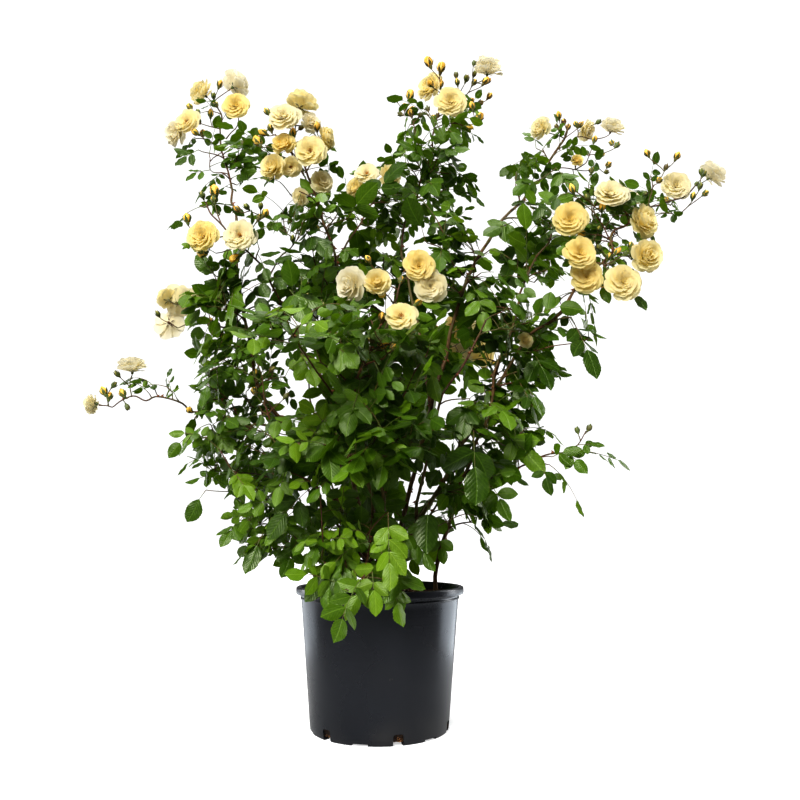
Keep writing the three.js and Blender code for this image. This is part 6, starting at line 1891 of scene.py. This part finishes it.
top_c, bot_c = [sc[0], sc[1], sh[2] - 0.0005], [sc[0], sc[1], sl[2] - 0.004]
v = np.vstack([v, top_c, bot_c])
t = [[(n - 1) * m + k, (n - 1) * m + (k + 1) % m, n * m] for k in range(m)] + [[(k + 1) % m, k, n * m + 1] for k in range(m)]
stock.add(v, t, q)
for a, tilt, ln, r in ((300, 40, 0.016, 0.0050), (225, 55, 0.013, 0.0042), (20, 35, 0.012, 0.0040)):
    d = np.array([math.cos(math.radians(a)) * math.sin(math.radians(tilt)), math.sin(math.radians(a)) * math.sin(math.radians(tilt)), math.cos(math.radians(tilt))])
    p = np.array([sc[0], sc[1], sh[2] - 0.016])
    tube(stock, np.array([p + d * (0.008 + ln * x) for x in (0, 0.3, 0.6, 0.9, 1.0)]), np.array([1.2, 1.05, 1.0, 1.0, 0.86]) * r, 14)

# Fine roots that have found their way into the drainage slots.
roots = Heap()
for k in range(6):
    a = math.radians(16 + 60 * k)
    o = np.array([math.sin(a), -math.cos(a), 0])
    s = np.array([math.cos(a), math.sin(a), 0])
    for _ in range(26 if k in (0, 5) else 14):
        x = g.uniform(-0.0070, 0.0070)
        z = g.uniform(0.0065, 0.0150)
        depth = BASE - WALL - 0.0012
        pts = [o * (depth - 0.004) + s * x + UP * z]
        for _ in range(5):
            x2 = np.clip(np.dot(pts[-1], s) + g.normal(0, 0.0022), -0.0072, 0.0072)
            z2 = np.clip(pts[-1][2] + g.normal(-0.0008, 0.0018), 0.0060, 0.0160)
            pts.append(o * (depth + g.uniform(-0.0020, 0.0016)) + s * x2 + UP * z2)
        tube(roots, spline(pts, 0.0016), g.uniform(0.00025, 0.0006), 4)


# ---------------------------------------------------------------- pieces

LEAF_MATS = {
    DEEP: leaf_material("leaf_deep_green", (0.022, 0.055, 0.0024, 1), (0.092, 0.180, 0.014, 1), (0.13, 0.28, 0.004, 1), 0.35),
    MID: leaf_material("leaf_mid_green", (0.043, 0.099, 0.0030, 1), (0.140, 0.250, 0.018, 1), (0.19, 0.38, 0.006, 1), 0.36),
    LIGHT: leaf_material("leaf_light_green", (0.078, 0.160, 0.0045, 1), (0.200, 0.330, 0.028, 1), (0.26, 0.47, 0.008, 1), 0.37),
    YOUNG: leaf_material("leaf_young_green", (0.114, 0.218, 0.0060, 1), (0.270, 0.400, 0.038, 1), (0.32, 0.53, 0.014, 1), 0.38),
}
for tt, name in ((DEEP, "leaves_deep"), (MID, "leaves_mid"), (LIGHT, "leaves_light"), (YOUNG, "leaves_young")):
    piece(leaf_heaps[tt], name, LEAF_MATS[tt], FOLIAGE, with_uv=True)

PETAL_MATS = {
    0: petal_material("petal_deep_yellow", (0.94, 0.78, 0.23, 1), (0.84, 0.68, 0.25, 1), (0.84, 0.73, 0.38, 1), (0.98, 0.86, 0.38, 1), 0.48),
    1: petal_material("petal_soft_yellow", (0.95, 0.84, 0.41, 1), (0.85, 0.73, 0.36, 1), (0.84, 0.76, 0.49, 1), (0.98, 0.89, 0.50, 1), 0.48),
    2: petal_material("petal_cream", (0.94, 0.85, 0.50, 1), (0.84, 0.76, 0.47, 1), (0.83, 0.77, 0.58, 1), (0.97, 0.90, 0.60, 1), 0.48),
    3: petal_material("petal_ivory", (0.92, 0.85, 0.58, 1), (0.83, 0.77, 0.57, 1), (0.83, 0.79, 0.66, 1), (0.96, 0.90, 0.68, 1), 0.48),
}
for k, name in ((0, "petals_deep_yellow"), (1, "petals_soft_yellow"), (2, "petals_cream"), (3, "petals_ivory")):
    piece(petals[k], name, PETAL_MATS[k], BLOOM_MASSES, with_uv=True)

piece(bud_gold, "bud_petals", skin_material("bud_gold_skin", (0.80, 0.42, 0.035, 1), (0.93, 0.66, 0.13, 1), (0.72, 0.26, 0.03, 1), 0.5, 140.0, 0.30), BLOOM_MASSES)
piece(bud_green, "bud_tips", skin_material("bud_green_skin", (0.20, 0.24, 0.03, 1), (0.40, 0.36, 0.06, 1), (0.22, 0.09, 0.02, 1), 0.5, 150.0, 0.4), BLOOM_MASSES)
piece(sepals, "sepals_and_cups", skin_material("calyx_skin", (0.060, 0.085, 0.018, 1), (0.120, 0.160, 0.036, 1), (0.120, 0.035, 0.014, 1), 0.5, 120.0, 0.65), BLOOM_MASSES)
piece(stamens, "stamens", skin_material("anther_skin", (0.42, 0.15, 0.02, 1), (0.74, 0.38, 0.05, 1), (0.20, 0.05, 0.01, 1), 0.6, 400.0, 0.6), BLOOM_MASSES)

piece(bark, "canes", bark_material("cane_bark", (0.046, 0.022, 0.008, 1), (0.150, 0.078, 0.028, 1), (0.100, 0.092, 0.026, 1), 150.0, 0.52), CANES + BOUGHS)
piece(young, "young_shoots", bark_material("young_shoot_skin", (0.046, 0.018, 0.008, 1), (0.110, 0.044, 0.018, 1), (0.066, 0.056, 0.015, 1), 190.0, 0.45), BOUGHS)
piece(green_shoot, "twigs_and_stalks", bark_material("stalk_skin", (0.070, 0.045, 0.018, 1), (0.110, 0.110, 0.034, 1), (0.130, 0.034, 0.022, 1), 220.0, 0.46), FOLIAGE + BLOOM_MASSES)
piece(thorn, "prickles", bark_material("prickle_horn", (0.12, 0.045, 0.020, 1), (0.30, 0.12, 0.05, 1), (0.26, 0.07, 0.03, 1), 300.0, 0.42), CANES + BOUGHS)
piece(rachis, "leaf_stalks", bark_material("leaf_stalk_skin", (0.090, 0.120, 0.028, 1), (0.150, 0.200, 0.045, 1), (0.150, 0.060, 0.028, 1), 260.0, 0.46), FOLIAGE)
piece(stock, "stock_union", bark_material("stock_bark", (0.040, 0.028, 0.018, 1), (0.150, 0.105, 0.066, 1), (0.080, 0.060, 0.040, 1), 160.0, 0.78, strength=0.9), ["stock"])
piece(soil, "compost_body", soil_material(), ["root_ball"])
piece(chips_dark, "compost_bark_chips", chip_material("bark_chip", (0.020, 0.010, 0.006, 1), (0.130, 0.062, 0.034, 1)), ["root_ball"])
piece(chips_pale, "compost_pale_bits", chip_material("pale_bit", (0.34, 0.26, 0.20, 1), (0.66, 0.58, 0.48, 1)), ["root_ball"])
piece(roots, "drain_roots", chip_material("root_fibre", (0.13, 0.050, 0.018, 1), (0.42, 0.20, 0.07, 1)), ["root_ball"])


# ---------------------------------------------------------------- stage, light and camera


def floor():
    h = Heap()
    s = 14.0
    h.add([[-s, -s, 0], [s, -s, 0], [s, s, 0], [-s, s, 0]], None, [[0, 1, 2, 3]])
    me = h.mesh("floor")
    ob = bpy.data.objects.new("floor", me)
    bpy.context.scene.collection.objects.link(ob)
    m, nt, bs, out = material("floor_paint")
    bs.inputs["Base Color"].default_value = (0.36, 0.36, 0.36, 1)
    bs.inputs["Roughness"].default_value = 0.9
    bs.inputs["Specular IOR Level"].default_value = 0.05
    # Seen directly, the paper of the floor runs on into the white behind it.
    N = Nodes(nt)
    paper = N.new("ShaderNodeBsdfDiffuse")
    paper.inputs["Color"].default_value = (0.80, 0.80, 0.80, 1)
    o = N.object_space()
    away = N.new("ShaderNodeVectorMath", operation="LENGTH")
    N.link(o, away.inputs[0])
    grey = N.new("ShaderNodeCombineColor")
    for k in range(3):
        N.link(N.range(away.outputs["Value"], 0.25, 1.1, 0.52, 0.08), grey.inputs[k])
    N.link(grey.outputs[0], bs.inputs["Base Color"])
    glow = N.new("ShaderNodeEmission")
    N.link(N.range(away.outputs["Value"], 0.2, 1.3, 0.48, 0.86), glow.inputs["Strength"])
    both = N.new("ShaderNodeAddShader")
    N.link(paper.outputs[0], both.inputs[0])
    N.link(glow.outputs[0], both.inputs[1])
    pick = N.new("ShaderNodeMixShader")
    N.link(N.new("ShaderNodeLightPath").outputs["Is Camera Ray"], pick.inputs[0])
    N.link(bs.outputs[0], pick.inputs[1])
    N.link(both.outputs[0], pick.inputs[2])
    N.link(pick.outputs[0], out.inputs[0])
    me.materials.append(m)


floor()


def softbox(name, at, to, size, power, shape="RECTANGLE", size_y=None, colour=(1, 1, 1)):
    li = bpy.data.lights.new(name, "AREA")
    li.shape = shape
    li.size = size
    li.size_y = size_y or size
    li.energy = power
    li.color = colour
    ob = bpy.data.objects.new(name, li)
    bpy.context.scene.collection.objects.link(ob)
    ob.location = at
    ob.rotation_euler = (Vector(to) - Vector(at)).to_track_quat("-Z", "Y").to_euler()
    ob.visible_camera = False
    return ob


softbox("key", (-1.5, -4.5, 3.3), (0, 0, 0.6), 2.2, 430)
softbox("overhead", (0.3, 0.3, 5.3), (0, 0, 0.5), 2.8, 125)
softbox("edge_left", (-2.3, 1.2, 0.9), (0, 0, 0.5), 0.8, 32, size_y=2.2)
softbox("edge_right", (2.3, 1.0, 0.9), (0, 0, 0.5), 0.8, 32, size_y=2.2)

# Two low cards, one each side, that the pot's wall mirrors.
softbox("card_left", (-0.52, 0.32, 0.086), (0, -0.02, 0.086), 0.55, 0.48, size_y=0.17, colour=(0.86, 0.93, 1.0))
softbox("card_right", (0.52, 0.28, 0.086), (0, -0.02, 0.086), 0.55, 0.70, size_y=0.17, colour=(0.86, 0.93, 1.0))

world = bpy.data.worlds.new("studio")
bpy.context.scene.world = world
world.use_nodes = True
nt = world.node_tree
nt.nodes.clear()
N = Nodes(nt)
wout = nt.nodes.new("ShaderNodeOutputWorld")
tc = N.new("ShaderNodeTexCoord").outputs["Generated"]
sep = N.new("ShaderNodeSeparateXYZ")
N.link(tc, sep.inputs[0])
sky = N.range(sep.outputs[2], -0.05, 0.9, 0.17, 0.36)
frontward = N.range(sep.outputs[1], -0.97, -0.25, 0.30, 1.0)
level = N.math("MULTIPLY", sky, frontward)
amb = N.new("ShaderNodeBackground")
amb.inputs["Color"].default_value = (1, 1, 1, 1)
N.link(level, amb.inputs["Strength"])
seen = N.new("ShaderNodeBackground")
seen.inputs["Color"].default_value = (1, 1, 1, 1)
seen.inputs["Strength"].default_value = 1.0
lp = N.new("ShaderNodeLightPath")
mx = N.new("ShaderNodeMixShader")
N.link(lp.outputs["Is Camera Ray"], mx.inputs[0])
N.link(amb.outputs[0], mx.inputs[1])
N.link(seen.outputs[0], mx.inputs[2])
N.link(mx.outputs[0], wout.inputs[0])

cam = bpy.data.cameras.new("camera")
cam.sensor_width = 36.0
cam.lens = 33.36
cam.clip_start, cam.clip_end = 0.05, 60
eye = bpy.data.objects.new("camera", cam)
bpy.context.scene.collection.objects.link(eye)
eye.location = (0.0334, -1.2834, 0.3173)
eye.rotation_euler = (math.radians(90 + 9.947), 0, 0)
bpy.context.scene.camera = eye
bpy.context.scene.view_settings.view_transform = "Standard"
bpy.context.scene.view_settings.look = "Medium High Contrast"
